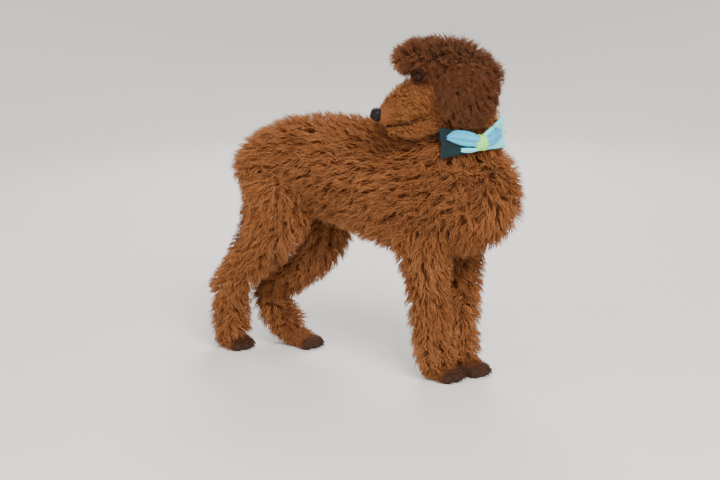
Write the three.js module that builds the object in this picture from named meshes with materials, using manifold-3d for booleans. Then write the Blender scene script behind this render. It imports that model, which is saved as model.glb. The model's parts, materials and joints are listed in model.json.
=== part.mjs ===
// A young standard poodle standing still, life size, looking back over its right shoulder.
// Millimetres, +Z up, +X to the dog's front, +Y to its left. The paws rest on the plane z = 0.
import * as THREE from 'three';
import { mergeVertices } from 'three/addons/utils/BufferGeometryUtils.js';
import Module from 'manifold-3d';

const wasm = await Module();
wasm.setup();

// Driving dimensions
const GAP = 0.3;              // clearance between two nodes that meet
const REACH = 900;            // size of the blocks that part the body
const SAMPLES = 30;           // places along a form where a point is set against it
const END_DOME = 0.3;         // how far the end of a tube domes out, as a share of its half size
const PAW_TOP = 44;           // height at which a paw meets its leg
const MIDDLE = [-41.8, -15.3, 0];  // middle of the outline in plan, moved to the origin
// Planes that part the body: a point, then the side that is cut off
const NECK_BASE = [[190, -8, 418], [0.5, -0.12, 0.86]];
const NAPE = [[204, -40, 489], [-0.43, -0.31, 0.85]];
const CHEST_END = [[45, 0, 0], [1, 0, 0]];
const RUMP_START = [[-95, 0, 250], [-0.95, 0, -0.31]];
const MID_TAIL = [[-272, 0, 252], [-0.2, 0, -0.98]];
const SHOULDER = { y: 22, z: 222, normal: [0, 0.5, -0.866] };
const HIP = { y: 14, z: 262, normal: [0, 0.62, -0.78] };
const THIGH_FRONT = { left: -44, right: -74 };
const KNEE = {
  left: [[-136, 50, 212], [-0.72, 0, -0.69]], right: [[-200, -50, 222], [-0.62, 0, -0.78]],
};
const HOCK = {
  left: [[-244, 38, 108], [-0.18, 0, -0.98]], right: [[-285, -40, 132], [-0.35, 0, -0.94]],
};

// The coat: rounded curls set close over a core that reaches less than half way to their tips
const CURL = {
  core: 0.8,                  // share of the coat's length that stands clear of the core
  wide: 0.66,                 // radius of a curl as a share of the distance to the next
  long: 1.25,                 // length along the lie, as a share of the width
  deep: 0.66,                 // radius along the normal, as a share of the other
  top: 0.87,                  // height of the curl's top over its middle, as a share of that
  vary: 0.1,                  // how much the curls differ in width, height and place
  most: 0.95,                 // largest radius as a share of the form's own half size
  last: 0.85,                 // the same for the curls over an end
  hidden: 0.88,               // curls this far inside another form are left out
  level: 1.5,                 // weight of the distance along that form against that across it
  near: 0.01,                 // step along a form over which its slope is taken
  ring: 0.55,                 // radius of the ring of curls over an end, as a share of the end's
  dome: 0.15,                 // how far that ring stands out, as a share of the end's half size
  face: 1.6,                  // how much the curls of that ring face along the form
  twist: 0.3,                 // turn of each row past the one before, as a share of a curl
  faces: 1.3,                 // a ball's radius over the distance of its faces from its middle
};

// A station is [x, y, z, half width, half depth, coat length], out to the tips of the coat.
const TORSO = [
  [-254, 0, 368, 38, 28, 20],
  [-236, 0, 362, 68, 56, 26],
  [-192, 0, 362, 87, 86, 30],
  [-110, 0, 368, 86, 99, 30],
  [-30, 0, 361, 90, 106, 30],
  [50, 0, 345, 98, 118, 30],
  [120, 0, 340, 102, 120, 30],
  [188, 0, 342, 99, 116, 32],
  [236, 0, 350, 84, 98, 34],
  [269, 0, 358, 52, 64, 34],
];
const NECK = [
  [130, 0, 372, 92, 84, 30],
  [178, -5, 406, 82, 86, 32],
  [207, -15, 438, 62, 64, 16],
  [211, -26, 472, 57, 59, 20],
  [210, -34, 504, 54, 56, 26],
  [206, -39, 536, 46, 48, 22],
];
const FORELEG = {
  right: [
    [140, -54, 300, 48, 62, 28],
    [138, -50, 245, 45, 54, 28],
    [140, -40, 195, 39, 43, 28],
    [140, -32, 130, 37, 39, 28],
    [144, -28, 80, 37, 39, 28],
    [150, -27, 44, 38, 39, 26],
    [158, -26, 24, 33, 38, 16],
  ],
  left: [
    [150, 54, 300, 48, 62, 28],
    [156, 50, 245, 45, 54, 28],
    [166, 40, 195, 39, 43, 28],
    [170, 32, 130, 37, 39, 28],
    [167, 28, 80, 37, 39, 28],
    [170, 27, 44, 38, 39, 26],
    [178, 26, 24, 33, 38, 16],
  ],
};
const HINDLEG = {
  right: [
    [-168, -46, 350, 54, 70, 28],
    [-164, -54, 300, 48, 74, 28],
    [-180, -54, 250, 44, 62, 28],
    [-212, -49, 203, 40, 46, 28],
    [-256, -44, 164, 37, 40, 28],
    [-287, -40, 130, 36, 40, 28],
    [-293, -38, 95, 36, 39, 28],
    [-296, -36, 44, 37, 39, 26],
    [-293, -35, 24, 32, 38, 16],
  ],
  left: [
    [-150, 46, 350, 54, 70, 28],
    [-132, 54, 300, 48, 70, 28],
    [-124, 54, 245, 44, 56, 28],
    [-148, 48, 188, 40, 46, 28],
    [-196, 43, 146, 37, 41, 28],
    [-240, 39, 116, 36, 40, 28],
    [-250, 37, 90, 36, 38, 28],
    [-222, 35, 50, 37, 38, 26],
    [-184, 35, 20, 32, 38, 12],
  ],
};
const TAIL = [
  [-248, 0, 394, 24, 22, 12],
  [-264, 0, 345, 22, 20, 12],
  [-266, 0, 295, 20, 18, 12],
  [-276, 0, 240, 20, 18, 12],
  [-298, 0, 192, 20, 18, 12],
  [-326, 0, 150, 19, 17, 12],
  [-354, 0, 120, 13, 12, 8],
  [-376, 0, 102, 6, 6, 3],
];
const PAWS = {
  fore_right: [164, -25], fore_left: [192, 26], hind_right: [-290, -34], hind_left: [-174, 35],
};
const PAW = { half_length: 41, half_width: 30, height: 42, toe: 11.5, sole: 4 };

// Distance between the curls on each form, and the stretch of it that they cover
const COAT = {
  trunk: { spacing: 88, seed: 1, from: 0.1, to: 0.95, ends: [0, 1] },
  neck: { spacing: 82, seed: 2, from: 0.25 },
  foreleg: { spacing: 69, seed: 3, to: 0.9 },
  hindleg: { spacing: 74, seed: 4, to: 0.92 },
  tail: { spacing: 44, seed: 7, to: 0.94, long: 2 },
  skull: { spacing: 57, seed: 21, from: 0.08, ends: [1] },
  face: { spacing: 60, seed: 22, to: 0.4 },
  muzzle: { spacing: 38, seed: 23, from: 0.4, to: 0.75 },
  jaw: { spacing: 40, seed: 24, from: 0.5, to: 0.88 },
};

const HEAD = {
  at: [204, -40, 554],        // middle of the skull
  heading: -144,              // degrees from straight ahead, over the right shoulder
  pitch: 15,                  // degrees that the nose points down
};
// Stations of the head, in its own frame: +X along the muzzle, +Y to its left.
const SKULL = [
  [-60, 0, -32, 22, 22, 20],
  [-46, 0, -24, 42, 36, 24],
  [-27, 0, -16, 53, 50, 28],
  [-2, 0, 1, 60, 57, 30],
  [26, 0, 20, 62, 53, 30],
  [56, 0, 40, 57, 37, 30],
  [78, 0, 46, 47, 29, 20],
  [91, 0, 43, 32, 21, 16],
];
const FACE = [
  [0, 0, -26, 44, 46, 14],
  [40, 0, -22, 44, 48, 12],
  [70, 0, -20, 34, 40, 10],
  [92, 0, -24, 30, 36, 10],
];
const MUZZLE = [
  [60, 0, -23, 32, 38, 10],
  [86, 0, -22, 31, 37, 10],
  [106, 0, -26, 29, 34, 10],
  [128, 0, -32, 25, 29, 9],
  [145, 0, -36, 17, 19, 6],
];
const JAW = [
  [20, 0, -60, 38, 30, 12],
  [60, 0, -65, 32, 26, 12],
  [96, 0, -66, 27, 21, 12],
  [122, 0, -63, 20, 15, 11],
  [140, 0, -58, 12, 8, 7],
];
const BROW = { at: [60, 20, 18], size: [19, 15, 13] };
const EYE = { at: [66, 26, 16], radius: 9.5, lid: 2.4, yaw: 42, opening: [8, 9, 5.5], clear: 32 };
const MUZZLE_ROOT = 86;       // where the muzzle meets the head
const JAW_ROOT = 74;          // where the jaw meets the head, at the corner of the mouth
const MOUTH = -53;            // height of the line of the mouth
const LIP = {
  radius: 3.4, bare: 12,
  edge: [[66, 22.5], [100, 23], [122, 18.5], [138, 10.5], [146, 1.5]],
};
const NOSE = { at: [152, 0, -29], size: [12.5, 13.5, 12] };
const NOSTRIL = { at: [161, 6, -28], size: [6, 3, 4] };
const EAR = {
  at: [-1, 51, -27], size: [55, 20, 64], thick: 6, coat: 7, hides: 0.7, rim: 0.15,
  curls: { spacing: 44, seed: 30 },
};
const COLLAR = {
  at: [209, -20, 447], axis: [0.12, -0.02, 1], radius: 56, width: 18, thickness: 4,
  bare: 8, clear: 28,
};
const BOW = {
  facing: -41, roll: 6, lean: 8, bend: 34,
  wing: { length: 53, root: 14, tip: 28, thick: 8 },
  lobe: { length: 40, root: 10, tip: 17, thick: 6, proud: 7 },
  knot: [11, 9, 16],
};

const materials = {
  coat: new THREE.MeshStandardMaterial({ color: 0x9c5836, roughness: 0.9 }),
  ear: new THREE.MeshStandardMaterial({ color: 0x86452c, roughness: 0.9 }),
  paw: new THREE.MeshStandardMaterial({ color: 0x6a3c2a, roughness: 0.9 }),
  nose: new THREE.MeshStandardMaterial({ color: 0x1d1a1c, roughness: 0.45 }),
  eye: new THREE.MeshStandardMaterial({ color: 0x22140e, roughness: 0.1 }),
  strap: new THREE.MeshStandardMaterial({ color: 0x1f2426, roughness: 0.7 }),
  bow: new THREE.MeshStandardMaterial({ color: 0x7cc4e0, roughness: 0.5 }),
  knot: new THREE.MeshStandardMaterial({ color: 0xb9d9a4, roughness: 0.5 }),
};
const SIDES = { left: 1, right: -1 };

// Solids: from a closed geometry to manifold and back
function solidOf(geometry) {
  const bare = geometry.clone();
  bare.deleteAttribute('normal');
  bare.deleteAttribute('uv');
  const merged = mergeVertices(bare, 1e-4);
  const corners = merged.index.array;
  const faces = [];
  for (let i = 0; i < corners.length; i += 3) {
    const [a, b, c] = [corners[i], corners[i + 1], corners[i + 2]];
    if (a !== b && b !== c && c !== a) faces.push(a, b, c);
  }
  return new wasm.Manifold(new wasm.Mesh({
    numProp: 3,
    vertProperties: new Float32Array(merged.attributes.position.array),
    triVerts: new Uint32Array(faces),
  }));
}

function geometryOf(solid) {
  const { vertProperties, triVerts } = solid.getMesh();
  const geometry = new THREE.BufferGeometry();
  geometry.setAttribute('position', new THREE.BufferAttribute(vertProperties, 3));
  geometry.setIndex(new THREE.BufferAttribute(triVerts, 1));
  return geometry;
}

function joined(solids) {
  return solids.reduce((all, one) => all.add(one));
}

function largest(solid) {
  return solid.decompose().reduce((best, one) => (one.volume() > best.volume() ? one : best));
}

// A block that fills everything beyond a plane, starting a little past it
function beyond(origin, normal, past = GAP / 2) {
  const direction = new THREE.Vector3(...normal).normalize();
  const turn = new THREE.Quaternion().setFromUnitVectors(new THREE.Vector3(0, 0, 1), direction);
  const start = new THREE.Vector3(...origin).addScaledVector(direction, past);
  const box = new THREE.BoxGeometry(2 * REACH, 2 * REACH, REACH).translate(0, 0, REACH / 2);
  return solidOf(box.applyQuaternion(turn).translate(...start));
}

// Parts a solid along a plane, leaving the gap: what lies beyond it, then the rest
function parted(solid, origin, normal) {
  const back = normal.map((n) => -n);
  return [solid.intersect(beyond(origin, normal)), solid.intersect(beyond(origin, back))];
}

// Parts off what lies beyond all of several planes, leaving the gap all round it
function partedOff(solid, planes) {
  const space = (past) => planes.map((plane) => beyond(...plane, past))
    .reduce((all, one) => all.intersect(one));
  return [solid.intersect(space(GAP / 2)), solid.subtract(space(-GAP / 2))];
}

// The surface round a line of stations. At t along it: the centre, the directions along, across
// and deep, the half sizes out to the tips, and the length of the coat.
function limb(stations) {
  const spine = new THREE.CatmullRomCurve3(stations.map(([x, y, z]) => new THREE.Vector3(x, y, z)));
  const sizes = new THREE.CatmullRomCurve3(stations.map((s) => new THREE.Vector3(s[3], s[4], s[5])));
  const at = (t) => {
    const along = spine.getTangent(t);
    const across = new THREE.Vector3(0, 1, 0).addScaledVector(along, -along.y).normalize();
    const deep = new THREE.Vector3().crossVectors(along, across);
    const { x: width, y: depth, z: coat } = sizes.getPoint(t);
    return { centre: spine.getPoint(t), along, across, deep, width, depth, coat };
  };
  const after = (share) => spine.getUtoTmapping(Math.min(share, 1));
  return { at, after, length: spine.getLength() };
}

// A smooth tube of elliptic rings through its stations, wider all round by grow, or further in
// by a share of the coat's length
function tube(stations, { rings, sides, grow = 0, share = 0 }) {
  const { at, length, after } = limb(stations);
  const [start, end] = [0, 1].map((t) => after(t + (1 - 2 * t) * share * at(t).coat / length));
  const positions = [];
  const faces = [];
  const ring = (i) => 1 + i * sides;
  const tip = (t, way) => {
    const { centre, along, width, depth, coat } = at(t);
    const dome = END_DOME * (Math.min(width, depth) - share * coat) + grow;
    positions.push(...centre.addScaledVector(along, way * dome));
  };
  tip(start, -1);
  for (let i = 0; i < rings; i += 1) {
    const { centre, across, deep, width, depth, coat } = at(start + (end - start) * i / (rings - 1));
    const change = grow - share * coat;
    for (let j = 0; j < sides; j += 1) {
      const angle = (2 * Math.PI * (j + 0.5 * (i % 2))) / sides;
      positions.push(...centre.clone()
        .addScaledVector(across, (width + change) * Math.cos(angle))
        .addScaledVector(deep, (depth + change) * Math.sin(angle)));
    }
  }
  tip(end, 1);
  for (let j = 0; j < sides; j += 1) {
    const next = (j + 1) % sides;
    faces.push(0, ring(0) + next, ring(0) + j);
    faces.push(ring(rings), ring(rings - 1) + j, ring(rings - 1) + next);
    for (let i = 0; i + 1 < rings; i += 1) {
      const [a, b, c, d] = [ring(i) + j, ring(i) + next, ring(i + 1) + j, ring(i + 1) + next];
      faces.push(...(i % 2 ? [a, b, d, a, d, c] : [a, b, c, b, d, c]));
    }
  }
  const geometry = new THREE.BufferGeometry();
  geometry.setAttribute('position', new THREE.Float32BufferAttribute(positions, 3));
  geometry.setIndex(faces);
  return solidOf(geometry);
}

function ellipsoid(at, size, around = 12, high = 8) {
  const ball = new THREE.SphereGeometry(1, around, high).rotateX(Math.PI / 2);
  return solidOf(ball.scale(...size).translate(...at));
}


const swollen = (size, grow) => size.map((half) => half + grow);

// Evenly spread numbers from 0 to 1, the same ones on every run
function seeded(seed) {
  let state = seed;
  return () => {
    state = (state + 0x6d2b79f5) | 0;
    let mixed = Math.imul(state ^ (state >>> 15), 1 | state);
    mixed = (mixed + Math.imul(mixed ^ (mixed >>> 7), 61 | mixed)) ^ mixed;
    return ((mixed ^ (mixed >>> 14)) >>> 0) / 2 ** 32;
  };
}

const PACKED = Math.sqrt(3) / 2;   // distance between staggered rows of round things, in widths
const ball = solidOf(new THREE.IcosahedronGeometry(1, 0));

// One curl: a ball of twenty faces, longer along the lie, its top at the spot and most of it sunk
function curl({ spot, normal, lie }, radius, draw, grow = 0, long = CURL.long) {
  const vary = () => 1 + CURL.vary * (2 * draw() - 1);
  const down = lie.clone().addScaledVector(normal, -lie.dot(normal)).normalize();
  const aside = new THREE.Vector3().crossVectors(down, normal);
  const wide = radius * vary();
  const deep = CURL.deep * wide * vary();
  const middle = spot.clone().addScaledVector(normal, -CURL.top * deep);
  const [w, l, d] = swollen([wide, long * wide, deep], grow * CURL.faces);
  const place = new THREE.Matrix4().makeBasis(
    aside.multiplyScalar(w), down.multiplyScalar(l), normal.clone().multiplyScalar(d)).setPosition(middle);
  return ball.transform(place.multiply(new THREE.Matrix4().makeRotationZ(2 * Math.PI * draw())).elements);
}

// Tells whether a point lies well inside the form round a line of stations
function within(stations, point) {
  const { at } = limb(stations);
  for (let i = 0; i <= SAMPLES; i += 1) {
    const { centre, along, across, deep, width, depth } = at(i / SAMPLES);
    const away = point.clone().sub(centre);
    const [x, y, z] = [away.dot(across) / width, away.dot(deep) / depth, away.dot(along) / width];
    if (Math.hypot(x, y, CURL.level * z) < CURL.hidden) return true;
  }
  return false;
}

// Staggered rows of curls round a limb, and over its ends, where clear says that there is room
function curls(stations, coat, clear, grow = 0) {
  const { spacing, seed, from = 0, to = 1, ends = [], long = CURL.long } = coat;
  const { at, length, after } = limb(stations);
  const draw = seeded(seed);
  const all = [];
  const add = (place, radius) => {
    const one = curl(place, radius, draw, grow, long);
    if (clear(place.spot)) all.push(one);
  };
  const surface = (t, turn, out = 1) => {
    const { centre, across, deep, width, depth } = at(Math.min(Math.max(t, 0), 1));
    return centre.addScaledVector(across, out * width * Math.cos(turn))
      .addScaledVector(deep, out * depth * Math.sin(turn));
  };
  const radiusAt = ({ width, depth }, most) => Math.min(CURL.wide * spacing, most * Math.min(width, depth));
  const addRound = (t, turn) => {
    const spot = surface(t, turn);
    const lie = surface(t + CURL.near, turn).sub(surface(t - CURL.near, turn)).normalize();
    const aside = surface(t, turn + CURL.near).sub(spot);
    const normal = new THREE.Vector3().crossVectors(lie, aside).normalize();
    if (normal.dot(spot.clone().sub(at(t).centre)) < 0) normal.negate();
    add({ spot, normal, lie }, radiusAt(at(t), CURL.most));
  };
  const addEnd = (end, turn) => {
    const { centre, along, width, depth } = at(end);
    const spot = surface(end, turn, CURL.ring);
    const out = 2 * end - 1;
    const normal = spot.clone().sub(centre).normalize().addScaledVector(along, out * CURL.face).normalize();
    spot.addScaledVector(along, out * CURL.dome * Math.min(width, depth));
    add({ spot, normal, lie: new THREE.Vector3(0, 0, -1) }, radiusAt({ width, depth }, CURL.last));
  };
  let row = 0;
  let step = 0;
  for (let share = from; share < to + 0.5 * step; share += step) {
    const here = at(after(share));
    step = long * PACKED * radiusAt(here, CURL.most) / (CURL.wide * length);
    const around = Math.max(3, 2 * Math.round(Math.PI * (here.width + here.depth) / (2 * spacing)));
    for (let k = 0; k < around; k += 1) {
      const turn = k + CURL.twist * row + CURL.vary * (draw() - 0.5);
      addRound(after(Math.min(share + 0.5 * step * (k % 2), to)), 2 * Math.PI * turn / around);
    }
    row += 1;
  }
  for (const end of ends) {
    const { width, depth } = at(end);
    const inner = Math.max(3, Math.round(CURL.ring * Math.PI * (width + depth) / spacing));
    for (let k = 0; k < inner; k += 1) addEnd(end, 2 * Math.PI * (k + 0.5) / inner);
  }
  return all;
}

const clearOf = (...others) => (spot) => !others.some((other) => within(other, spot));

// The body: torso, neck, legs and paws as one form, then parted where a person names its parts
function paw([x, y]) {
  const { half_length: long, half_width: wide, height, toe, sole } = PAW;
  const foot = [ellipsoid([x - 3, y, 0], [long - 4, wide, height], 12, 6)];
  for (const [place, ahead] of [[-1, -8], [-0.34, 0], [0.34, 0], [1, -8]]) {
    const at = [x + long - 14 + ahead, y + place * (wide - toe), sole];
    foot.push(ellipsoid(at, [toe + 2.5, toe, 19], 7, 5));
  }
  return joined(foot);
}

const clearOfStrap = ({ z }) => Math.abs(z - COLLAR.at[2]) > COLLAR.clear;

function bodyForm() {
  const leg = (stations, coat) => [
    tube(stations, { rings: 10, sides: 8, share: CURL.core }), ...curls(stations, coat, clearOf(TORSO))];
  return joined([
    tube(TORSO, { rings: 11, sides: 14, share: CURL.core }),
    ...curls(TORSO, COAT.trunk, clearOf(NECK, ...Object.values(FORELEG), ...Object.values(HINDLEG))),
    tube(NECK, { rings: 7, sides: 12, share: CURL.core }),
    ...curls(NECK, COAT.neck, (spot) => clearOf(TORSO)(spot) && clearOfStrap(spot)),
    ...Object.values(FORELEG).flatMap((stations) => leg(stations, COAT.foreleg)),
    ...Object.values(HINDLEG).flatMap((stations) => leg(stations, COAT.hindleg)),
    ...Object.values(PAWS).map(paw),
  ]).intersect(beyond([0, 0, 0], [0, 0, 1], 0));
}

const tailForm = (grow) => joined([
  tube(TAIL, { rings: 9, sides: 6, grow, share: CURL.core }),
  ...curls(TAIL, COAT.tail, clearOf(TORSO), grow),
]);

// The head, in its own frame
const headFrame = new THREE.Group();
headFrame.position.set(...HEAD.at);
headFrame.rotation.order = 'ZYX';
headFrame.rotation.y = THREE.MathUtils.degToRad(HEAD.pitch);
headFrame.rotation.z = THREE.MathUtils.degToRad(HEAD.heading);
headFrame.updateMatrix();

const muzzleForm = (grow, share = 0) => tube(MUZZLE, { rings: 7, sides: 12, grow, share });
const jawForm = (grow, share = 0) => tube(JAW, { rings: 8, sides: 12, grow, share });
const noseForm = (grow) => ellipsoid(NOSE.at, swollen(NOSE.size, grow), 11, 7);

// Both lips follow the edge of the mouth from its corners round the front
function lipForm(height) {
  const half = LIP.edge.map(([x, y]) => new THREE.Vector3(x, y, height));
  const other = half.map(({ x, y }) => new THREE.Vector3(x, -y, height)).reverse();
  const section = new THREE.Shape();
  section.absarc(0, 0, LIP.radius, 0, 2 * Math.PI);
  return solidOf(new THREE.ExtrudeGeometry(section, {
    steps: 14, curveSegments: 3, bevelEnabled: false,
    extrudePath: new THREE.CatmullRomCurve3([...half, ...other]),
  }));
}

function eyeBall(side, grow) {
  const [x, y, z] = EYE.at;
  return ellipsoid([x, side * y, z], Array(3).fill(EYE.radius + grow), 10, 7);
}

// The slit between the lids, an almond that looks out and a little ahead
function eyeOpening(side) {
  const [x, y, z] = EYE.at;
  const yaw = THREE.MathUtils.degToRad(side * EYE.yaw);
  const almond = new THREE.SphereGeometry(1, 10, 6).rotateX(Math.PI / 2);
  const [wide, deep, high] = EYE.opening;
  const reach = EYE.radius + 1;
  almond.scale(deep, wide, high).rotateZ(yaw);
  return solidOf(almond.translate(x + reach * Math.cos(yaw), side * y + reach * Math.sin(yaw), z));
}

// An ear is a hanging flap, hollow on the side that faces the head
function earShape(side, grow) {
  const [x, y, z] = EAR.at;
  const tilt = THREE.MathUtils.degToRad(-HEAD.pitch);
  return solidOf(new THREE.SphereGeometry(1, 13, 9).rotateX(Math.PI / 2)
    .scale(...swollen(EAR.size, grow)).rotateY(tilt).translate(x, side * y, z));
}

const outOf = (side, y) => beyond([0, side * y, 0], [0, side, 0], 0);

// Rows of curls over the outer face of an ear, hanging down
function earCurls(side, grow) {
  const { spacing, seed } = EAR.curls;
  const draw = seeded(seed + side);
  const [long, thick, high] = EAR.size;
  const turn = new THREE.Matrix4().makeRotationY(THREE.MathUtils.degToRad(-HEAD.pitch));
  turn.setPosition(EAR.at[0], side * EAR.at[1], EAR.at[2]);
  const lie = new THREE.Vector3(0, 0, -1).transformDirection(turn);
  const step = CURL.long * PACKED * spacing;
  const [rows, columns] = [Math.floor(high / step), Math.ceil(long / spacing)];
  const all = [];
  for (let i = -rows; i <= rows; i += 1) {
    for (let j = -columns; j <= columns; j += 1) {
      const x = (j + 0.5 * Math.abs(i % 2)) * spacing;
      const z = i * step;
      const left = 1 - (x / long) ** 2 - (z / high) ** 2;
      if (left < EAR.rim) continue;
      const y = side * thick * Math.sqrt(left);
      const normal = new THREE.Vector3(x / long ** 2, y / thick ** 2, z / high ** 2);
      const spot = new THREE.Vector3(x, y, z).applyMatrix4(turn);
      normal.transformDirection(turn);
      all.push(curl({ spot, normal, lie }, CURL.wide * spacing, draw, grow));
    }
  }
  return all;
}

const earWhole = (side, grow) => joined([earShape(side, grow - EAR.coat), ...earCurls(side, grow)])
  .intersect(outOf(side, EAR.at[1] - grow));
const earSpace = Object.fromEntries(Object.values(SIDES).map((side) => [side, earWhole(side, GAP)]));
const earForm = (side) => earWhole(side, 0).subtract(earShape(side, -EAR.coat - EAR.thick));

const clearOfEars = ({ x, z }) => Math.hypot(
  (x - EAR.at[0]) / EAR.size[0], (z - EAR.at[2]) / EAR.size[2]) > EAR.hides;
const clearOfEyes = (spot) => Object.values(SIDES).every((side) => (
  spot.distanceTo(new THREE.Vector3(EYE.at[0], side * EYE.at[1], EYE.at[2])) > EYE.clear));

function headForm() {
  return joined([
    tube(SKULL, { rings: 9, sides: 12, share: CURL.core }),
    ...curls(SKULL, COAT.skull, (spot) => clearOf(FACE)(spot) && clearOfEyes(spot) && clearOfEars(spot)),
    tube(FACE, { rings: 5, sides: 12, share: CURL.core }),
    ...curls(FACE, COAT.face, clearOf(SKULL, MUZZLE)),
    muzzleForm(0).intersect(beyond([MUZZLE_ROOT, 0, 0], [-1, 0, 0])),
    jawForm(0).intersect(beyond([JAW_ROOT, 0, 0], [-1, 0, 0])),
    ...Object.values(SIDES).flatMap((side) => [
      ellipsoid([BROW.at[0], side * BROW.at[1], BROW.at[2]], BROW.size, 9, 6),
      eyeBall(side, EYE.lid),
    ]),
  ]);
}

// The muzzle is what lies ahead of its root and above the mouth, the jaw what lies below
const muzzleSpace = (grow) => beyond([MUZZLE_ROOT - grow, 0, 0], [1, 0, 0])
  .intersect(beyond([0, 0, MOUTH - grow], [0, 0, 1]));
const jawSpace = (grow) => beyond([JAW_ROOT - grow, 0, 0], [1, 0, 0])
  .intersect(beyond([0, 0, MOUTH + grow], [0, 0, -1]));
const muzzleWhole = joined([
  muzzleForm(0, CURL.core), lipForm(MOUTH + LIP.radius),
  ...curls(MUZZLE, COAT.muzzle, ({ z }) => z > MOUTH + LIP.bare),
]);
const jawWhole = joined([
  jawForm(0, CURL.core), lipForm(MOUTH - LIP.radius),
  ...curls(JAW, COAT.jaw, ({ z }) => z < MOUTH - LIP.bare),
]);

function headNodes() {
  const nodes = {};
  nodes.muzzle = muzzleWhole.intersect(muzzleSpace(0)).subtract(noseForm(GAP));
  nodes.lower_jaw = jawWhole.intersect(jawSpace(0));
  nodes.nose = noseForm(0);
  let head = headForm()
    .subtract(muzzleForm(GAP).intersect(muzzleSpace(GAP)))
    .subtract(jawForm(GAP).intersect(jawSpace(GAP)));
  for (const [name, side] of Object.entries(SIDES)) {
    const [x, y, z] = NOSTRIL.at;
    nodes.nose = nodes.nose.subtract(ellipsoid([x, side * y, z], NOSTRIL.size, 8, 6));
    head = head.subtract(eyeBall(side, GAP)).subtract(eyeOpening(side));
    head = head.subtract(earSpace[side]);
    nodes[`ear_${name}`] = earForm(side);
    nodes[`eye_${name}`] = eyeBall(side, 0);
  }
  const toHead = new THREE.Matrix4().copy(headFrame.matrix).invert();
  const above = beyond(...NAPE).transform(toHead.elements);
  nodes.head = head.intersect(above);
  return nodes;
}

// The collar is a strap round the neck, and the bow tie sits on its front
const collarFrame = new THREE.Group();
collarFrame.position.set(...COLLAR.at);
collarFrame.quaternion.setFromUnitVectors(
  new THREE.Vector3(0, 0, 1), new THREE.Vector3(...COLLAR.axis).normalize());
collarFrame.updateMatrix();

function strap(inner, outer, width) {
  const half = width / 2;
  const profile = [[inner, -half], [outer, -half], [outer, half], [inner, half], [inner, -half]];
  const ring = new THREE.LatheGeometry(profile.map(([r, h]) => new THREE.Vector2(r, h)), 28);
  return solidOf(ring.rotateX(Math.PI / 2));
}

const bowFrame = new THREE.Group();
bowFrame.position.copy(new THREE.Vector3(COLLAR.radius + BOW.knot[1] + GAP, 0, 0)
  .applyAxisAngle(new THREE.Vector3(0, 0, 1), THREE.MathUtils.degToRad(BOW.facing)))
  .applyMatrix4(collarFrame.matrix);
bowFrame.rotation.order = 'ZYX';
bowFrame.rotation.set(
  THREE.MathUtils.degToRad(BOW.lean), THREE.MathUtils.degToRad(-BOW.roll),
  THREE.MathUtils.degToRad(BOW.facing + 90));
bowFrame.updateMatrix();

// In the bow's frame +X runs along the bow to the right of someone who faces it, -Y to them
function bowWing(side, grow) {
  const bend = Math.tan(THREE.MathUtils.degToRad(BOW.bend));
  const layer = ({ length, root, tip, thick }, forward) => tube([0, 0.35, 0.75, 1].map((s) => [
    side * (BOW.knot[0] - 4 + s * length), bend * s * length - forward, 0,
    thick * (0.7 + 0.6 * Math.sin(Math.PI * Math.min(s, 0.6))), root + (tip - root) * s ** 0.8, 0,
  ]), { rings: 5, sides: 8, grow });
  return layer(BOW.wing, 0).add(layer(BOW.lobe, BOW.lobe.proud));
}

// Putting it together
const root = new THREE.Group();
const dog = new THREE.Group();
dog.position.set(...MIDDLE.map((m) => -m));
root.add(dog);
dog.add(headFrame, collarFrame, bowFrame);

function addNode(name, solid, material, parent = dog) {
  const mesh = new THREE.Mesh(geometryOf(largest(solid)), material);
  mesh.name = name;
  parent.add(mesh);
}

const inBody = (solid, frame) => solid.transform(frame.matrix.elements);
const headMaterials = {
  nose: 'nose', eye_left: 'eye', eye_right: 'eye', ear_left: 'ear', ear_right: 'ear',
};
for (const [name, solid] of Object.entries(headNodes())) {
  addNode(name, solid, materials[headMaterials[name] ?? 'coat'], headFrame);
}

const [neckAndMore, trunkWhole] = parted(bodyForm(), ...NECK_BASE);
let neck = parted(neckAndMore, ...NAPE)[1];
for (const side of Object.values(SIDES)) {
  neck = neck.subtract(inBody(earSpace[side], headFrame));
  neck = neck.subtract(inBody(bowWing(side, GAP), bowFrame));
}
const strapSpace = (outer) => inBody(
  strap(COLLAR.radius - COLLAR.thickness - GAP, outer, COLLAR.width + 2 * GAP), collarFrame);
const knotSpace = ellipsoid([0, 0, 0], swollen(BOW.knot, GAP));
neck = neck.subtract(strapSpace(COLLAR.radius + COLLAR.bare)).subtract(inBody(knotSpace, bowFrame));
addNode('neck', neck, materials.coat);
addNode('collar', strap(COLLAR.radius - COLLAR.thickness, COLLAR.radius, COLLAR.width),
  materials.strap, collarFrame);
addNode('bow_knot', ellipsoid([0, 0, 0], BOW.knot), materials.knot, bowFrame);
const toBow = new THREE.Matrix4().copy(bowFrame.matrix).invert();
for (const [name, side] of [['bow_wing_left', -1], ['bow_wing_right', 1]]) {
  const wing = bowWing(side, 0)
    .subtract(knotSpace)
    .subtract(strapSpace(COLLAR.radius + GAP).transform(toBow.elements));
  addNode(name, wing, materials.bow, bowFrame);
}

const [tailTip, tailRoot] = parted(tailForm(0), ...MID_TAIL);
addNode('tail_root', tailRoot, materials.coat);
addNode('tail_tip', tailTip, materials.coat);

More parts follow.
